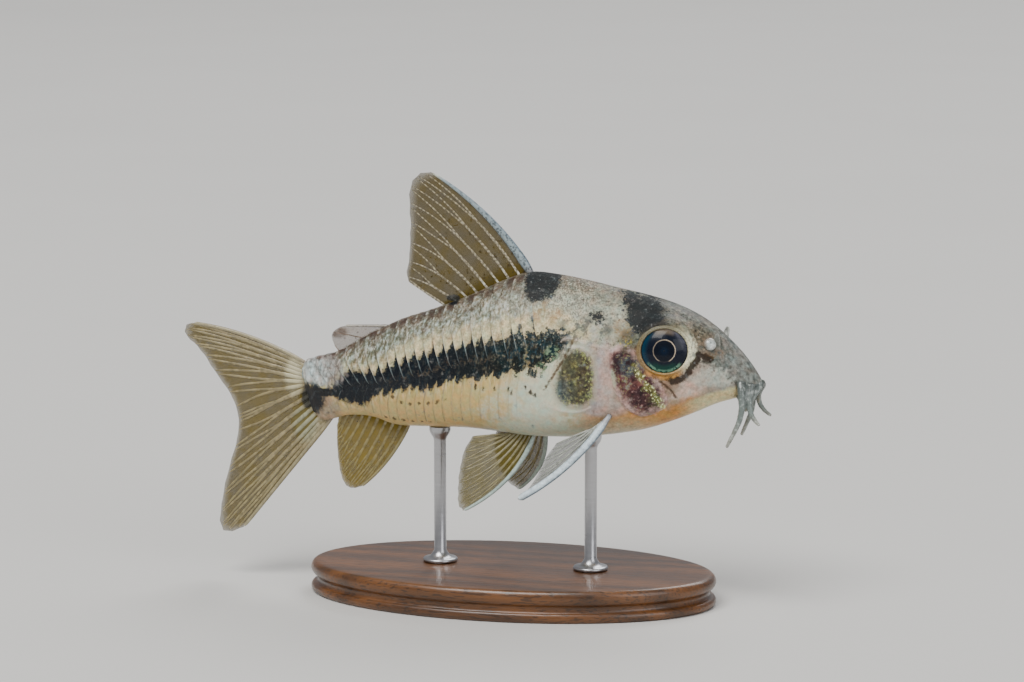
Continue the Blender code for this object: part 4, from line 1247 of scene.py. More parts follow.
def plate_block(side, row):
    """Points of every plate in one row on one side, as plates by 2 faces by rows by columns by 3, with the
    shares p from front to rear and q from the seam along the side to the back or the belly.

    A plate runs back from its front edge and stands off the skin as a power of p, so that its rear edge lies
    over the next one. Near the seam both rows sweep forwards by a power of the distance left to it."""
    reach = span("plate_pitch") * bpy.context.scene.catfish_sizes.plate_overlap
    upper = row == "upper"
    fronts = np.arange(3.0 if upper else 2.5, -20.9, -span("plate_pitch"))[:, None, None]
    p, q = np.meshgrid(np.linspace(0.0, 1.0, 13), np.linspace(0.0, 1.0, 32), indexing="ij")
    bent, bend = (0.62, 1.45) if upper else (0.5, 0.85)
    sweep = bend * np.clip(1.0 - q / bent, 0.0, 1.0) ** 1.6
    x = fronts - reach * p * (1.0 - 0.12 * ease(q, 0.85, 1.0)) + sweep - 0.35 * ease(q, 0.9, 1.0)
    seam = read_curve(PLATE_SEAM, x)
    edge = read_curve(PLATE_CREST if upper else PLATE_FOOT, x)
    lap = PLATE_LAP * np.sin(math.pi * np.clip((p - 0.25) / 0.75, 0.0, 1.0)) * (1.0 - q)
    turn = seam + (lap if upper else -lap) + (edge - seam) * q
    at, step = station_at(x), 0.02
    along = body_points(station_at(x - step), turn) - body_points(station_at(x + step), turn)
    normal = unit(np.cross(along, body_points(at, turn + step) - body_points(at, turn - step)))
    normal *= np.where(normal[..., 1:2] > 0.0, -1.0, 1.0)
    ends = ease(q, 0.0, 0.05 if upper else 0.14) * ease(q, 1.0, 0.95)
    stand = (0.16 if upper else 0.07) * p**0.75 * (1.0 - 0.25 * ease(fronts, 0.5, 3.5)) * (0.45 + 0.55 * ends)
    lift = stand - span("skin_inset") - 0.03 - 0.09 * (1.0 - ends) + 0.015 * np.sin(math.pi * q) * p
    outer = body_points(at, turn) + normal * lift[..., None]
    thick = span("plate_thickness") * (1.0 if upper else 0.4)
    block = np.stack([outer, outer - normal * (thick * (0.35 + 0.65 * p))[..., None]], 1)
    block[..., 1] *= -side
    return block, p, q, reach


def plates_piece(word, row):
    """One row of plates on one side as one mesh. Each plate has its own cell on the unwrap, in body order,
    its outer face in the cell's larger part."""
    side = SIDES[word]
    block, p, q, reach = plate_block(side, row)
    count, _, rows, columns, _ = block.shape
    size = 2 * rows * columns
    points = block.reshape(-1, 3)
    x, z = points[:, 0], points[:, 2]
    rearwards, away = np.tile(p.ravel(), 2 * count), np.tile(q.ravel(), 2 * count)
    dots = [np.hypot((rearwards - 0.72) * reach, z - read_curve(line, x)) for line in DOT_ROWS]
    fields = flank_fields(x, z) | {
        "front": 1.0 - rearwards,
        "up": away,
        "chance": np.repeat(np.random.default_rng(len(row) + int(side)).random(count), size),
        "dot": np.minimum.reduce(dots) + 2.0 * ease(x, -6.0, -3.0),
    }
    u = np.concatenate([0.04 + 0.7 * p.ravel(), 0.96 - 0.2 * p.ravel()])
    uv = np.stack([((u + np.arange(count)[:, None]) / count).ravel(), 0.02 + 0.96 * away], -1)
    faces = many_faces(facing_out(points[:size], sheet_faces(rows, columns)), size, count)
    return make_piece(f"plates_{row}_{word}", swung(points), faces, fields, uv)


class CATFISH_OT_plates(bpy.types.Operator):
    """Builds the two rows of overlapping bony plates on each side"""

    bl_idname = "catfish.plates"
    bl_label = "Plates"

    def execute(self, context):
        look = skin_look("bony plates", plates=True)
        for word in SIDES:
            for row in ("upper", "lower"):
                finish_piece(plates_piece(word, row), look, "skin")
        return {"FINISHED"}


# Eyes


def eye_mesh(side):
    """An eyeball: rings of a flattened ball, with the distance from its axis and the turn round it."""
    rings, columns = 64, 96
    centre, axis, forwards, up = eye_frame(side)
    lift = np.linspace(0.0, 1.0, rings + 1)[1:] * math.radians(118.0)
    turn = turns(columns)
    radius, height = EYE_RADIUS * np.sin(lift), EYE_DEPTH * np.cos(lift)
    ring = forwards * np.cos(turn)[:, None] + up * np.sin(turn)[:, None]
    points = centre + radius[:, None, None] * ring + height[:, None, None] * axis
    flat = np.concatenate([points.reshape(-1, 3), [centre + EYE_DEPTH * axis, points[-1].mean(0)]])
    away = np.repeat(np.where(lift < math.pi / 2, radius, EYE_RADIUS), columns)
    fields = {
        "away": np.append(away, [0.0, EYE_RADIUS]),
        "ahead": np.append(np.tile(np.cos(turn), rings), [0.0, 0.0]),
        "aloft": np.append(np.tile(np.sin(turn), rings), [1.0, 0.0]),
    }
    return flat, facing_out(flat, ring_faces(rings, columns)), fields


def eye_look():
    """A dark pupil in a thin cream ring that breaks at its foot, and a navy iris, blue at the rear, with a
    painted grey reflection above and painted green-white reflections at its foot over dark green below, under
    a wet clear coat."""
    look = Finish("eye", specular_ior_level=0.12, coat_weight=0.38, coat_roughness=0.02, coat_ior=1.34)
    away, ahead, aloft = look.field("away"), look.field("ahead"), look.field("aloft")
    grain = look.noise(3.0, 3.0, 0.6)
    outer = away.ease(1.55, 2.15)
    sheen = (aloft * 0.75 + ahead * 0.6).ease(0.35, 0.95) * outer * (grain * 0.5 + 0.2)
    low_reflection = aloft.ease(-0.5, -0.9) * (away - 2.0).size().ease(0.22, 0.05)
    ring = (away - (PUPIL_RADIUS + 0.06) + (grain - 0.5) * 0.05).size().ease(0.075, 0.01)
    ring = ring * (1.0 - aloft.ease(-0.84, -0.95) * 0.95) * (0.7 + ahead * 0.3)
    eye = look.layers(
        tint("iris"),
        (ahead.ease(-0.25, -0.9) * outer * 0.8, (0.01, 0.034, 0.056)),
        # Painted reflection: greyer over the upper front of the iris.
        (sheen, (0.13, 0.13, 0.155)),
        (aloft.ease(0.8, 1.0) * away.ease(1.5, 1.9) * 0.4, (0.22, 0.17, 0.11)),
        # Painted reflection: green-white glints at the iris's lower edge.
        (low_reflection * grain.ease(0.2, 0.6), (0.32, 0.5, 0.38)),
        (aloft.ease(-0.6, -0.95) * away.ease(1.2, 1.7) * 0.6, (0.01, 0.055, 0.04)),
        (away.ease(2.16, 2.3), (0.006, 0.009, 0.013)),
        (ring, tint("pupil_ring")),
        (away.ease(PUPIL_RADIUS + 0.02, PUPIL_RADIUS - 0.02), (0.002, 0.004, 0.008)),
        (away.ease(0.7, 0.0) * 0.7, (0.002, 0.012, 0.026)),
    )
    look.link("Base Color", eye)
    look.link("Roughness", 0.24 + grain * 0.1)
    return look.material


def lid_mesh(side):
    """The soft rim round an eye: rings of a ridge that lies on the ball inside and sinks into the cheek
    outside, closed underneath, squashed to an oval and lifted on to the ball."""
    columns, steps = 160, 22
    centre, axis, forwards, up = eye_frame(side)
    inner = np.linspace(LID_INNER, LID_OUTER, steps)
    wrinkles = 0.03 * np.sin((inner - LID_CREST) * 16.0) * ease(inner, LID_CREST, LID_CREST + 0.15)
    top = lid_height(inner) + wrinkles
    radius = np.concatenate([inner, inner[::-1]])
    height = np.concatenate([top, top[::-1] - 0.28])
    height[0] -= 0.03
    height[steps - 1] -= 0.1
    turn = turns(columns)
    ring = forwards * np.cos(turn)[:, None] + LID_SQUASH * up * np.sin(turn)[:, None]
    seat = ball_height(LID_INNER * np.linalg.norm(ring, axis=1)) - ball_height(LID_INNER)
    height = height[:, None] + seat * ease(radius, LID_OUTER, LID_CREST)[:, None]
    points = centre + radius[:, None, None] * ring + height[..., None] * axis
    rows = len(radius)
    flat = points.reshape(-1, 3)
    faces = strip_faces(rows + 1, columns, wrap=True) % (rows * columns)
    fields = {
        "away": np.repeat(radius, columns),
        "ahead": np.tile(np.cos(turn), rows),
        "aloft": np.tile(np.sin(turn), rows),
    }
    return flat, facing_out(flat, faces), fields


def lid_look():
    """Olive-tan folds round the eye, cream in front, orange below and dark above."""
    look = Finish("eye rim", roughness=0.33, specular_ior_level=0.4, coat_weight=0.2, coat_roughness=0.1)
    look.grain, look.fine = look.noise(3.0, 3.0, 0.6), look.noise(6.0, 2.0, 0.6)
    away, ahead, aloft = look.field("away"), look.field("ahead"), look.field("aloft")
    shade = (aloft * 0.8 - ahead * 0.6 + look.stray(grain=0.5)).ease(0.3, 0.8)
    folds = ((away * 26.0).wave() * 0.5 + 0.5) * away.ease(2.42, 2.55)
    rim = look.layers(
        tint("orbit"),
        (ahead.ease(0.2, 0.9), (0.92, 0.9, 0.7)),
        (aloft.ease(0.1, 0.9) * 0.8, (0.27, 0.27, 0.21)),
        (aloft.ease(-0.45, -0.95) * 0.85, (0.34, 0.185, 0.075)),
        ((away - LID_CREST).size().ease(0.1, 0.0) * 0.45, (0.56, 0.51, 0.38)),
        (shade * 0.45, (0.055, 0.052, 0.042)),
        (ahead.ease(-0.45, -0.85) * aloft.ease(0.3, -0.1) * 0.6, (0.2, 0.13, 0.085)),
        (folds * 0.35, (0.1, 0.085, 0.05)),
        ((away + look.stray(fine=0.06)).ease(2.33, 2.28) * 0.8, (0.035, 0.028, 0.02)),
        (look.grain.ease(0.46, 0.75) * (0.6 - ahead.ease(0.3, 0.8) * 0.35), (0.08, 0.066, 0.042)),
    )
    look.link("Base Color", look.mottle(rim, grain=0.9, fine=0.6))
    look.link("Normal", look.bump(look.grain, 0.05, 0.6))
    return look.material


class CATFISH_OT_eyes(bpy.types.Operator):
    """Builds both eyeballs and the soft rims round them"""

    bl_idname = "catfish.eyes"
    bl_label = "Eyes"

    def execute(self, context):
        look, rim = eye_look(), lid_look()
        for word, side in SIDES.items():
            finish_piece(make_piece(f"eyeball_{word}", *eye_mesh(side)), look, "eye", f"eye_{word}")
            finish_piece(make_piece(f"eye_rim_{word}", *lid_mesh(side)), rim, "skin")
        return {"FINISHED"}


# Nostrils


def ball_mesh(centre, axis, radius, depth):
    """A flattened ball about an axis, and the distance of each of its points from the axis."""
    rings, columns = 28, 40
    axis = unit(np.array(axis))
    across = unit(np.cross(axis, (0.0, 0.0, 1.0)))
    lift = np.linspace(0.0, math.pi, rings + 2)[1:-1]
    turn = turns(columns)
    ring = across * np.cos(turn)[:, None] + np.cross(across, axis) * np.sin(turn)[:, None]
    points = radius * np.sin(lift)[:, None, None] * ring + depth * np.cos(lift)[:, None, None] * axis
    flat = np.concatenate([points.reshape(-1, 3), [axis * depth, -axis * depth]])
    away = np.append(np.repeat(np.sin(lift), columns), [0.0, 0.0])
    return flat + centre, facing_out(flat, ring_faces(rings, columns)), {"away": away}


def flap_mesh(side):
    """A small upright flap behind the nostril: a closed sheet, a half oval curled about its upright edge."""
    up, across = np.meshgrid(np.linspace(-0.25, 1.0, 22), np.linspace(-1.0, 1.0, 18), indexing="ij")
    wide = 0.36 * np.sqrt(np.clip(1.0 - np.clip(up, 0.0, 1.0) ** 2.4, 0.02, 1.0))
    curl = across * 0.9
    leant = 1.8 + wide * 0.5 * np.cos(curl) + 0.6 * up
    sheet = np.stack([21.45 + wide * np.sin(curl) + 0.12 * up, leant, 27.1 + 1.1 * up], -1)
    normal = np.stack([np.sin(curl), np.cos(curl), np.zeros_like(curl)], -1)
    return *thick_sheet(sheet, 0.05 * normal, side), {"away": np.tile(np.abs(across).ravel(), 2)}


def bead_look():
    """Glassy grey, darker at its edge, brownish above, with a painted highlight along its lower front."""
    look = Finish("nostril bead", roughness=0.14, coat_weight=0.6, coat_roughness=0.03)
    look.grain, away = look.noise(3.0, 2.0, 0.6), look.field("away")
    skin = look.layers(
        look.mix(away.ease(0.55, 0.95), (0.44, 0.47, 0.45), (0.16, 0.16, 0.15)),
        ((look.z - look.x * 0.8).ease(10.35, 10.75) * away.ease(0.3, 0.8) * 0.5, (0.3, 0.24, 0.19)),
        # Painted highlight along the bead's lower front.
        ((look.z - look.x * 0.6).ease(14.55, 14.15) * 0.6, (0.86, 0.88, 0.84)),
    )
    look.link("Base Color", look.mottle(skin, grain=0.5))
    return look.material


def flap_look():
    """Grey skin, paler at both upright edges."""
    look = Finish("nostril flap", roughness=0.3, coat_weight=0.3, coat_roughness=0.08)
    look.grain = look.noise(4.0, 2.0, 0.6)
    tone = look.mix(look.field("away").ease(0.4, 1.0), (0.2, 0.205, 0.19), (0.34, 0.35, 0.32))
    look.link("Base Color", look.mottle(tone, grain=0.8))
    return look.material


class CATFISH_OT_nostrils(bpy.types.Operator):
    """Builds the glassy bead and the small upright flap of each nostril"""

    bl_idname = "catfish.nostrils"
    bl_label = "Nostrils"

    def execute(self, context):
        bead, flap = bead_look(), flap_look()
        for word, side in SIDES.items():
            ball = ball_mesh((20.82, side * 2.36, 27.1), (0.38, side * 0.8, 0.46), 0.64, 0.42)
            finish_piece(make_piece(f"nostril_bead_{word}", *ball), bead, "skin")
            edge = make_piece(f"nostril_flap_edge_{word}", *flap_mesh(side))
            finish_piece(edge, flap, "skin", f"nostril_flap_{word}")
        return {"FINISHED"}


# Feelers


def barbel_mesh(path, side, shape):
    """A soft feeler along a smooth curve, flared where it leaves the lip and fine at its tip."""
    rows, sides = 72, 20
    share = np.linspace(0.0, 1.0, rows)
    line = curve(path, share) * (1.0, side, 1.0)
    root, middle, tip = shape
    radius = tip + (middle - tip) * (1.0 - share) ** 0.7 + (root - middle) * hump(share, 0.2)
    radius *= 1.0 + 0.04 * np.sin(share * 50.0) * share
    flat_to = np.tile([0.3, side, 0.1], (1, rows, 1))
    points, faces, _, along = tubes(line[None], radius[None], flat_to, 0.8, sides)
    return points, faces, {"along": along}


def lip_flap_mesh(side):
    """The flap at the mouth's corner: a closed sheet between the rear and front feelers, whose lower edge is
    a hollow curve."""
    down, across = np.meshgrid(np.linspace(0.0, 1.0, 36), np.linspace(0.0, 1.0, 26), indexing="ij")
    reach = 0.5 + 0.12 * (2.0 * across - 1.0) ** 2
    rear, front = curve(BARBELS["rear"], down * reach), curve(BARBELS["front"], down * reach)
    middle = curve(LIP_FOLD, down * 0.8)
    sheet = rear + (middle - rear) * np.clip(2.0 * across, 0.0, 1.0)[..., None]
    sheet += (front - middle) * np.clip(2.0 * across - 1.0, 0.0, 1.0)[..., None]
    half = (0.24 - 0.12 * down)[..., None] * (0.25, 1.0, 0.0)
    return *thick_sheet(sheet, half, side), {"along": np.tile((down * 0.4).ravel(), 2)}


def feeler_look():
    """Blue-grey skin, darker and flecked at the root and warmer at the tip, with faint rings in relief."""
    look = Finish("feeler skin", specular_ior_level=0.5, coat_weight=0.35, coat_roughness=0.08)
    look.grain, along = look.noise(2.2, 3.0, 0.6), look.field("along")
    fine = look.noise(5.0, 2.0, 0.6)
    skin = look.layers(
        look.mix(along.ease(0.0, 0.5), shaded(tint("barbel"), 0.55), tint("barbel")),
        (along.ease(0.6, 1.0) * 0.5, (0.4, 0.38, 0.33)),
        (look.grain.ease(0.55, 0.85) * 0.5, (0.42, 0.44, 0.42)),
        (fine.ease(0.6, 0.85) * along.ease(0.5, 0.1) * 0.6, (0.06, 0.06, 0.055)),
    )
    look.link("Base Color", look.mottle(skin, grain=0.6))
    look.link("Roughness", 0.26 + look.grain * 0.1)
    look.link("Normal", look.bump((along * 160.0).wave() * 0.3 + look.grain, 0.03, 0.5))
    return look.material


class CATFISH_OT_feelers(bpy.types.Operator):
    """Builds the six feelers and the lip flaps they grow from"""

    bl_idname = "catfish.feelers"
    bl_label = "Feelers"

    def execute(self, context):
        look = feeler_look()
        for word, side in SIDES.items():
            for kind, path in BARBELS.items():
                feeler = make_piece(f"feeler_{kind}_{word}", *barbel_mesh(path, side, BARBEL_SHAPES[kind]))
                finish_piece(feeler, look, "barbel", f"barbel_{kind}_{word}")
            fold = barbel_mesh(LIP_FOLD, side, LIP_FOLD_SHAPE)
            finish_piece(make_piece(f"lip_fold_{word}", *fold), look, "barbel")
            finish_piece(make_piece(f"lip_flap_{word}", *lip_flap_mesh(side)), look, "barbel")
        return {"FINISHED"}


# Fins


def fan(root, margin, bow, across, along):
    """Points of a fin at shares `across`, from its first ray to its last, and `along`, from its root to its
    margin: straight lines bent aside by a parabola of height `bow`, which fades from the first ray."""
    start, end = curve(root, across), curve(margin, across)
    bend = (4.0 * along * (1.0 - along) * (1.0 - across))[..., None]
    return start + (end - start) * along[..., None] + np.asarray(bow, float) * bend


def fin_normal(root, margin, bow, across, along):
    """Unit normals of a fin's surface."""
    step = 0.01
    low, high = np.clip(across - step, 0, 1), np.clip(across + step, 0, 1)
    wide = fan(root, margin, bow, high, along) - fan(root, margin, bow, low, along)
    far = fan(root, margin, bow, across, along + step) - fan(root, margin, bow, across, along - step)
    return unit(np.cross(wide, far))


def ray_tracks(rays, forks):
    """Each branch of a fin's rays: its share across the fin at the root, and its bends as pairs of a share
    along and how far across it then draws. The first ray stays single."""
    gap = 1.0 / (rays - 1)
    branches = [(0.0, [])]
    for ray in range(1, rays):
        room = RAY_SPREAD * gap * (0.5 if ray == rays - 1 else 1.0)
        ways = [[]]
        for number, fork in enumerate(forks):
            ways = [[*way, (fork, sign * room / 2 ** (number + 1))] for way in ways for sign in (-1.0, 1.0)]
        branches += [(ray * gap, way) for way in ways]
    return branches


def track_share(base, bends, along):
    """Share across the fin of one branch, moved by each bend as a soft ramp from fork to margin."""
    share = np.full(np.shape(along), base, float)
    for fork, reach in bends:
        share += reach * np.clip((along - fork) / (1.0 - fork), 0.0, 1.0) ** 0.85
    return np.clip(share, 0.0, 1.0)


def fin_rays(name, root, margin, rays, bow, spine, seed, blunt=0.3, inset=0.06, forks=(0.5,), width=None):
    """All rays of a fin as one mesh of tapered tubes that thin at each fork."""
    width = width or span("ray_thickness")
    rows, sides = 48, bpy.context.scene.catfish_sizes.ray_sides
    draw = np.random.default_rng(seed)
    along = np.linspace(-inset, 0.985, rows)
    out = np.clip(along, 0.0, 1.0)
    paths, radii, normals, first = [], [], [], []
    for base, bends in ray_tracks(rays, forks):
        across = track_share(base, bends, along)
        reach = 1.0 - (0.02 * draw.random() if base > 0.0 else 0.0)
        wander = 0.004 * np.sin(along * 9.0 + TURN * draw.random()) * (base > 0.0)
        paths.append(fan(root, margin, bow, np.clip(across + wander, 0.0, 1.0), along * reach))
        normals.append(fin_normal(root, margin, bow, across, np.clip(along * reach, 0.02, 0.98)))
        if base == 0.0:
            radius = spine * (1.0 - blunt * out) * (0.6 + 0.4 * ease(along, -inset, 0.1))
            radius *= np.sqrt(np.clip(1.0 - (np.clip(along - 0.95, 0.0, 1.0) / 0.04) ** 2, 0.08, 1.0))
        else:
            radius = (1.0 - 0.35 * out) * (1.0 - 0.5 * ease(along, 0.85, 1.0))
            for fork, _ in bends:
                radius *= 1.0 - 0.25 * ease(along, fork - 0.05, fork + 0.15)
            radius *= 1.0 + 0.05 * np.sin(along * 90.0 + TURN * draw.random())
        radii.append(0.5 * width * radius)
        first.append(base == 0.0)
    paths = np.stack(paths)
    flatness = np.where(first, SPINE_FLATNESS, RAY_FLATNESS)[:, None, None, None]
    points, faces, number, share = tubes(paths, np.stack(radii), np.stack(normals), flatness, sides)
    length_of = np.linalg.norm(np.diff(paths, axis=1), axis=-1).sum(1)
    angle = turns(sides)
    fields = {
        "along": share,
        "reach": share * length_of[number],
        "ray": number * 0.37,
        "round": np.tile(np.append(np.tile(np.abs(np.sin(angle)), rows), [0.0, 0.0]), len(paths)),
        "spine": np.asarray(first, float)[number],
    }
    return make_piece(f"{name}_rays", swung(points), faces, fields)


def fin_web(name, root, margin, rays, bow):
    """The clear skin of a fin as a closed thin sheet, hollowed a little between the rays."""
    share, reach = np.linspace(0.0, 1.0, 12 * (rays - 1) + 1), np.linspace(-0.03, 1.0, 34)
    across, along = np.meshgrid(share, reach, indexing="ij")
    beat = np.abs(np.sin(across * (rays - 1) * math.pi))
    along = along * (1.0 - 0.008 * beat * ease(along, 0.3, 1.0))
    normal = fin_normal(root, margin, bow, across, np.clip(along, 0.02, 0.98))
    half = 0.5 * span("web_thickness") * (1.25 - 0.7 * np.clip(along, 0.0, 1.0))
    points, faces = thick_sheet(fan(root, margin, bow, across, along), normal * half[..., None])
    return make_piece(f"{name}_web", swung(points), faces, {"along": np.tile(along.ravel(), 2)})


def fin_marks(look, skin, share=0.9):
    """Cream and grey-green glows over the roots of the tail fin's rays and dark spots at the fins' bases."""
    spots = look.oval("tail fin spot").most(look.oval("anal fin spot") * 0.6)
    spots = spots.most(look.oval("dorsal fin spot"))
    return look.layers(
        skin,
        (look.oval("tail fin glow") * share, (0.56, 0.53, 0.4)),
        (look.oval("tail fin haze") * (look.grain * 0.6 + 0.4) * share * 0.8, (0.36, 0.39, 0.31)),
        ((spots + look.stray(grain=0.7)).ease(0.25, 0.8) * 0.9, (0.018, 0.02, 0.02)),
    )


def ray_look(name, tone, specks, edge, crest, rounds=5.0):
    """Soft fin rays with faint joints, pigment, painted glints and bright knobs at their roots painted as
    glints, and a leading ray with an edge colour and a crest painted paler as a highlight, under dark specks."""
    look = Finish(name, specular_ior_level=0.4, coat_weight=0.3, coat_roughness=0.1)
    look.grain, look.fine = look.noise(1.8, 3.0, 0.6), look.noise(4.5, 2.0, 0.6)
    grain, fine, along, spine = look.grain, look.fine, look.field("along"), look.field("spine")
    joints = look.field("reach") * rounds + look.field("ray") * 5.0 + grain * 5.0
    joints = (joints.wave() * 0.5 + 0.5).ease(0.1, 1.0)
    soft = look.layers(
        look.mix(joints, shaded(tone, 0.95 - 0.55 * specks), shaded(tone, 1.05 + 0.75 * specks)),
        ((grain * 0.5 + fine * 0.5).ease(0.48, 0.66) * specks * 0.9, (0.05, 0.04, 0.028)),
        # Painted glints: bright flecks along the rays.
        (fine.ease(0.6, 0.9) * specks * 0.6, (0.7, 0.66, 0.56)),
        # Painted glints on the knobs near the rays' roots.
        (along.ease(0.17, 0.09) * grain.ease(0.4, 0.7) * specks, (0.72, 0.72, 0.64)),
    )
    first = look.layers(
        # Leading ray: its edge colour, paler along the crest as a painted highlight.
        look.mix((look.field("round") + look.stray(grain=0.3)).ease(0.2, 1.0), edge, crest),
        (along.ease(0.9, 0.99) * specks, (0.62, 0.62, 0.52)),
        (along.ease(0.12, 0.05) * 0.6, (0.2, 0.17, 0.16)),
    )
    dots = (look.cells(3.4) + look.stray(fine=0.5)).ease(0.5, 0.24) * specks * along.ease(1.0, 0.5)
    first = look.mix(dots, look.mottle(first, fine=0.35), (0.035, 0.042, 0.048))
    skin = look.mottle(look.mix(spine, soft, first), grain=(1.0 - spine * 0.6) * 0.7)
    look.link("Base Color", fin_marks(look, skin))
    look.link("Roughness", 0.24 + joints * (1.0 - spine) * 0.15)
    look.link("Normal", look.bump(grain * (1.0 - spine), 0.02, 0.4))
    return look.material


def web_look(name, cover, specks, tone):
    """Clear smoky skin, denser at the fin's root and at dark specks and thinnest at its edge."""
    look = Finish(name, roughness=0.4, specular_ior_level=0.2)
    look.grain, look.fine = look.noise(0.8, 3.0, 0.6), look.noise(3.0, 2.0, 0.6)
    along = look.field("along")
    dots = (look.cells(1.7) + look.stray(fine=0.35)).ease(0.22, 0.1) * along.ease(1.0, 0.2) * specks
    skin = look.mix(look.grain, shaded(tone, 0.75), shaded(tone, 1.35))
    skin = fin_marks(look, look.mix(dots, skin, (0.03, 0.022, 0.015)), 0.25)
    tip = look.oval("adipose tip") * (look.fine * 0.6 + 0.4)
    look.link("Base Color", look.mix(tip * 0.8, skin, (0.085, 0.055, 0.045)))
    thin = along.ease(1.01, 0.9) * 0.45 + 0.55
    opacity = (look.grain * 0.15 + 0.93) * cover * thin + along.ease(0.14, 0.0) * 0.25
    base = look.oval("tail fin spot").most(look.oval("tail fin haze") * 0.5)
    look.link("Alpha", (opacity + dots * 0.4 + tip * 0.4 + base * 0.5).least(0.95))
    return look.material


def on_midline(points):
    """X and Z pairs as points on the fish's plane of symmetry."""
    return [(x, 0.0, z) for x, z in points]


def root_on_body(ends, around, clearance):
    """A root line along the back or the belly between two X."""
    x = np.linspace(*ends, 5)
    return on_midline(zip(x, midline_height(x, around) + clearance))


def add_fin(name, root, margin, looks, rays, bow, **shape):
    """A fin's rays and web. The web stands for the fin's node."""
    finish_piece(fin_rays(name, root, margin, rays, bow, **shape), looks[0], "fin")
    finish_piece(fin_web(name, root, margin, rays, bow), looks[1], "fin", name)


class CATFISH_OT_median_fins(bpy.types.Operator):
    """Builds the dorsal, adipose and anal fins"""

    bl_idname = "catfish.median_fins"
    bl_label = "Dorsal, adipose and anal fins"

    def execute(self, context):
        dorsal = (
            ray_look("dorsal rays", tint("ray"), 0.75, (0.19, 0.23, 0.26), (0.29, 0.335, 0.35), 13.0),
            web_look("dorsal web", 0.74, 0.7, tint("web")),
        )
        adipose = (
            ray_look("adipose rays", (0.24, 0.19, 0.16), 0.5, (0.2, 0.18, 0.16), (0.42, 0.4, 0.36)),
            web_look("adipose web", 0.36, 0.5, (0.12, 0.082, 0.05)),
        )
        olive = (0.225, 0.195, 0.115)
        anal = (
            ray_look("anal rays", olive, 0.1, olive, (0.28, 0.25, 0.16)),
            web_look("anal web", 0.76, 0.2, (0.15, 0.113, 0.028)),
        )
        root = root_on_body(DORSAL_ROOT_X, 0.0, -0.25)
        add_fin("dorsal_fin", root, on_midline(DORSAL_MARGIN), dorsal, **FINS["dorsal"])
        root = root_on_body(ADIPOSE_ROOT_X, 0.0, -0.3)
        add_fin("adipose_fin", root, on_midline(ADIPOSE_MARGIN), adipose, **FINS["adipose"])
        root = root_on_body(ANAL_ROOT_X, math.pi, 0.3)
        add_fin("anal_fin", root, on_midline(ANAL_MARGIN), anal, **FINS["anal"])
        return {"FINISHED"}


class CATFISH_OT_tail_fin(bpy.types.Operator):
    """Builds the two lobes of the tail fin"""

    bl_idname = "catfish.tail_fin"
    bl_label = "Tail fin"

    def execute(self, context):
        tone = (0.255, 0.222, 0.148)
        looks = (
            ray_look("tail rays", tone, 0.1, tone, (0.31, 0.28, 0.2), 2.0),
            web_look("tail web", 0.71, 0.1, (0.1, 0.076, 0.026)),
        )
        upper = on_midline(TAIL_UPPER_ROOT), on_midline(TAIL_UPPER_MARGIN)
        lower = on_midline(TAIL_LOWER_ROOT), on_midline(TAIL_LOWER_MARGIN)
        add_fin("tail_fin_upper", *upper, looks, **FINS["tail upper"])
        add_fin("tail_fin_lower", *lower, looks, **FINS["tail lower"])
        return {"FINISHED"}


class CATFISH_OT_paired_fins(bpy.types.Operator):
    """Builds the pectoral and pelvic fins"""

    bl_idname = "catfish.paired_fins"
    bl_label = "Pectoral and pelvic fins"

    def execute(self, context):
        pectoral = (
            ray_look("pectoral rays", (0.3, 0.31, 0.28), 0.1, (0.17, 0.205, 0.235), (0.7, 0.78, 0.82), 3.0),
            web_look("pectoral web", 0.4, 0.1, (0.045, 0.05, 0.042)),
        )
        pelvic = (
            ray_look("pelvic rays", (0.22, 0.2, 0.135), 0.1, (0.22, 0.26, 0.24), (0.44, 0.51, 0.48), 3.0),
            web_look("pelvic web", 0.66, 0.1, (0.105, 0.086, 0.032)),
        )
        fins = {
            "pectoral": (PECTORAL_ROOT, PECTORAL_MARGIN, pectoral),
            "pelvic": (PELVIC_ROOT, PELVIC_MARGIN, pelvic),
        }
        for word, side in SIDES.items():
            flip = np.array((1.0, side, 1.0))
            for kind, (root, margins, looks) in fins.items():
                shape = FINS[kind] | {"bow": flip * FINS[kind]["bow"]}
                add_fin(f"{kind}_fin_{word}", flip * root, flip * margins[word], looks, **shape)
        return {"FINISHED"}


# Stand


def turned_mesh(profile, middle, stretch, columns):
    """A solid of revolution about a vertical line: each profile row is a radius and a height, and `stretch`
    scales the radius along X and Y."""
    profile = np.asarray(profile, float)
    turn = turns(columns)
    ring = np.stack([np.cos(turn) * stretch[0], np.sin(turn) * stretch[1], np.zeros(columns)], -1)
    points = profile[:, :1, None] * ring + profile[:, 1:, None] * (0.0, 0.0, 1.0)
    flat = np.concatenate([points.reshape(-1, 3), [(0.0, 0.0, profile[0, 1]), (0.0, 0.0, profile[-1, 1])]])
    return flat + middle, facing_out(flat, ring_faces(len(profile), columns))


def arc(centre, radius, start, end, steps=10):
    """Points of an arc in the profile plane, angles in degrees from the +radius direction."""
    angle = np.radians(np.linspace(start, end, steps))
    return [(centre[0] + radius * math.cos(a), centre[1] + radius * math.sin(a)) for a in angle]


def plinth_profile(half):
    """Half outline of the base, as shares of its half width: a flat top, a round lip, a shallow cove and a
    round foot."""
    high = PLINTH_HIGH
    lip = arc((half - 0.75, high - 0.75), 0.75, 88, -60)
    cove = [(2.0 * (half - 0.32) - r, h) for r, h in arc((half - 0.32, 1.35), 0.42, 60, -60, 12)]
    foot = arc((half - 0.5, 0.5), 0.5, 60, -88)
    edge = [(r / half, h) for r, h in ((half - 1.3, high), *lip, *cove, *foot, (half - 1.0, 0.0))]
    return [(0.02, high), (0.5, high), *edge, (0.02, 0.0)]


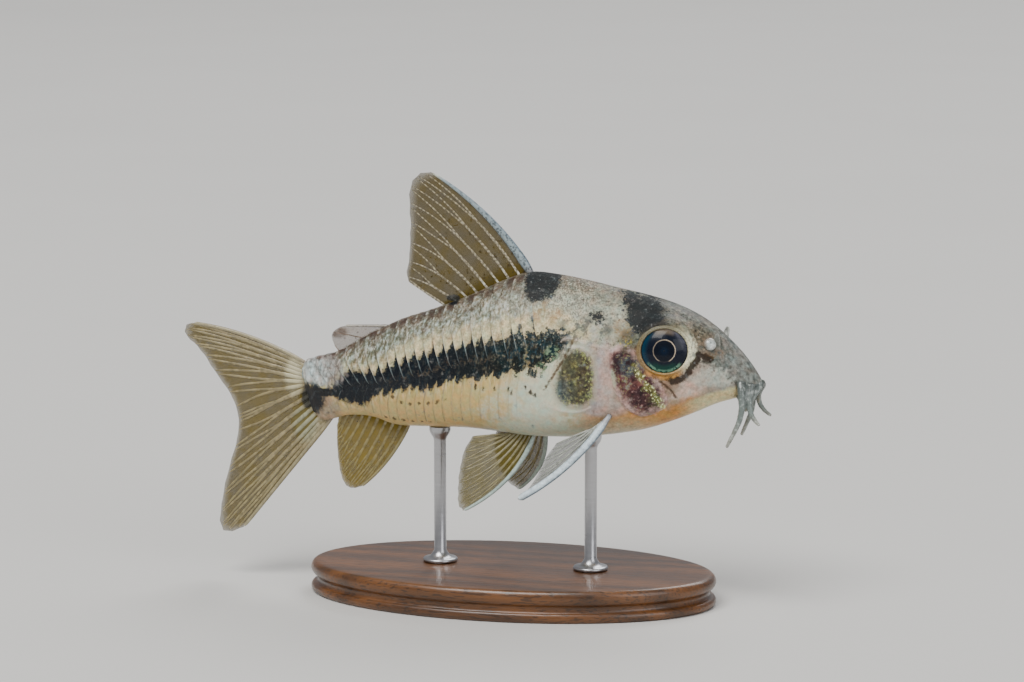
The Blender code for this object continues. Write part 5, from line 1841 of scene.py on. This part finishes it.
def rod_profile(height):
    """Half outline of a rod from its foot up: a stepped collar, the plain rod and a pad under the belly."""
    foot, radius = PLINTH_HIGH, ROD_RADIUS - 0.13
    return [
        (0.02, foot), (1.55, foot), *arc((1.55, foot + 0.22), 0.22, -60, 60, 7), (1.35, foot + 0.45),
        (1.05, foot + 0.55), (0.82, foot + 0.85), (radius, foot + 1.2), (radius, height - 1.3),
        (0.72, height - 1.0), (1.0, height - 0.55), (1.1, height - 0.2), (1.08, height + 0.1),
        (0.9, height + 0.18), (0.02, height + 0.1),
    ]


def wood_look():
    """Dark hardwood under satin lacquer: long grain rings, pores and a soft gloss."""
    look = Finish("stained hardwood", specular_ior_level=0.5, coat_weight=0.45, coat_roughness=0.18)
    wander = look.noise(0.1, 2.0, 0.5, stretch=(0.25, 1.0, 1.0))
    rings = (look.y * 1.5 + look.z * 0.7 + wander * 9.0).wave() * 0.5 + 0.5
    fibre = look.noise(2.4, 4.0, 0.65, stretch=(0.06, 1.0, 1.0))
    pores = look.noise(5.0, 2.0, 0.5, stretch=(0.1, 1.0, 1.0)).ease(0.6, 0.72)
    skin = look.mix(rings * 0.6 + fibre * 0.4, shaded(tint("wood"), 0.55), shaded(tint("wood"), 1.9))
    look.link("Base Color", look.mix(pores * 0.6, skin, (0.012, 0.007, 0.004)))
    look.link("Roughness", 0.3 + fibre * 0.18)
    look.link("Normal", look.bump(fibre - pores * 0.5, 0.05, 0.35))
    return look.material


def steel_look():
    """Steel brushed round each rod: fine rings in gloss and height."""
    look = Finish("brushed steel", metallic=1.0)
    brush = look.noise(3.0, 3.0, 0.6, stretch=(0.08, 0.08, 1.0))
    look.link("Base Color", look.mix(brush, shaded(tint("steel"), 0.9), shaded(tint("steel"), 1.05)))
    look.link("Roughness", 0.26 + brush * 0.1)
    look.link("Normal", look.bump(brush, 0.004, 0.3))
    return look.material


class CATFISH_OT_stand(bpy.types.Operator):
    """Builds the oval wooden base and the two steel rods"""

    bl_idname = "catfish.stand"
    bl_label = "Display stand"

    def execute(self, context):
        low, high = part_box("stand_base")
        half = (high - low) / 2 / MM
        plinth = turned_mesh(plinth_profile(half.x), (0.0, 0.0, 0.0), (half.x, half.y), 160)
        finish_piece(make_piece("plinth", *plinth, sharp=40.0), wood_look(), "stand_wood", "stand_base")
        steel = steel_look()
        for word, x in ROD_X.items():
            profile = rod_profile(float(midline_height(x, math.pi)))
            rod = turned_mesh(profile, (x, float(sway(x)), 0.0), (1.0, 1.0), 48)
            piece = make_piece(f"rod_{word}", *rod, sharp=50.0)
            finish_piece(piece, steel, "stand_steel", f"stand_rod_{word}")
        return {"FINISHED"}


# Stage


def aimed(name, data, azimuth, elevation, distance, height):
    """A lamp or camera at this distance and these angles in degrees round the fish, aimed at this height
    over the floor. Lengths are in metres."""
    made = bpy.data.objects.new(name, data)
    a, e = math.radians(azimuth), math.radians(elevation)
    back = Vector((math.sin(a) * math.cos(e), -math.cos(a) * math.cos(e), math.sin(e)))
    made.location = Vector((0.0, 0.0, height)) + back * distance
    made.rotation_mode = "QUATERNION"
    made.rotation_quaternion = back.to_track_quat("Z", "Y")
    bpy.context.scene.collection.objects.link(made)
    return made


class CATFISH_OT_stage(bpy.types.Operator):
    """Sets the pale floor, the soft studio lights and the camera"""

    bl_idname = "catfish.stage"
    bl_label = "Floor, lights and camera"

    def execute(self, context):
        corners = [(x * FLOOR_REACH, y * FLOOR_REACH, 0.0) for x, y in ((-1, -1), (1, -1), (1, 1), (-1, 1))]
        floor = make_piece("floor", corners, [(0, 1, 2, 3)])
        look = Finish("pale floor", roughness=0.85, specular_ior_level=0.2)
        pale = look.mix(look.noise(0.02, 2.0, 0.5), tint("floor"), shaded(tint("floor"), 0.98))
        look.link("Base Color", pale)
        floor.data.materials.append(look.material)
        for name, (azimuth, elevation, distance, size, power, warmth) in LIGHTS.items():
            lamp = bpy.data.lights.new(name, "AREA")
            lamp.shape, lamp.size, lamp.energy, lamp.color = "SQUARE", size, power, warmth
            aimed(name, lamp, azimuth, elevation, distance, LIGHT_AIM)
        world = bpy.data.worlds.new("studio")
        world.use_nodes = True
        light = world.node_tree.nodes["Background"].inputs
        light["Color"].default_value, light["Strength"].default_value = WORLD_COLOUR, WORLD_STRENGTH
        context.scene.world = world
        lens = bpy.data.cameras.new("camera")
        lens.lens, lens.sensor_width = CAMERA_LENS, 36.0
        lens.clip_start, lens.clip_end = 0.01, 20.0
        context.scene.camera = aimed("camera", lens, *CAMERA_ANGLES, CAMERA_DISTANCE, CAMERA_AIM)
        return {"FINISHED"}


class CATFISH_PT_panel(bpy.types.Panel):
    bl_idname = "CATFISH_PT_panel"
    bl_label = "Corydoras catfish"
    bl_space_type = "VIEW_3D"
    bl_region_type = "UI"
    bl_category = "Catfish"

    def draw(self, context):
        for operator in OPERATORS:
            self.layout.operator(operator.bl_idname)
        for group in (context.scene.catfish_sizes, context.scene.catfish_colours):
            box = self.layout.box()
            for title in group.__annotations__:
                box.prop(group, title)


OPERATORS = (
    CATFISH_OT_skin,
    CATFISH_OT_plates,
    CATFISH_OT_eyes,
    CATFISH_OT_nostrils,
    CATFISH_OT_feelers,
    CATFISH_OT_median_fins,
    CATFISH_OT_tail_fin,
    CATFISH_OT_paired_fins,
    CATFISH_OT_stand,
    CATFISH_OT_stage,
)
CLASSES = (CatfishSizes, CatfishColours, *OPERATORS, CATFISH_PT_panel)


def register():
    for kind in CLASSES:
        bpy.utils.register_class(kind)
    bpy.types.Scene.catfish_sizes = PointerProperty(type=CatfishSizes)
    bpy.types.Scene.catfish_colours = PointerProperty(type=CatfishColours)


def unregister():
    del bpy.types.Scene.catfish_colours
    del bpy.types.Scene.catfish_sizes
    for kind in reversed(CLASSES):
        bpy.utils.unregister_class(kind)


def main():
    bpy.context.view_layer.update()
    register()
    for operator in OPERATORS:
        getattr(bpy.ops.catfish, operator.bl_idname.split(".")[1])()


if __name__ == "__main__":
    main()
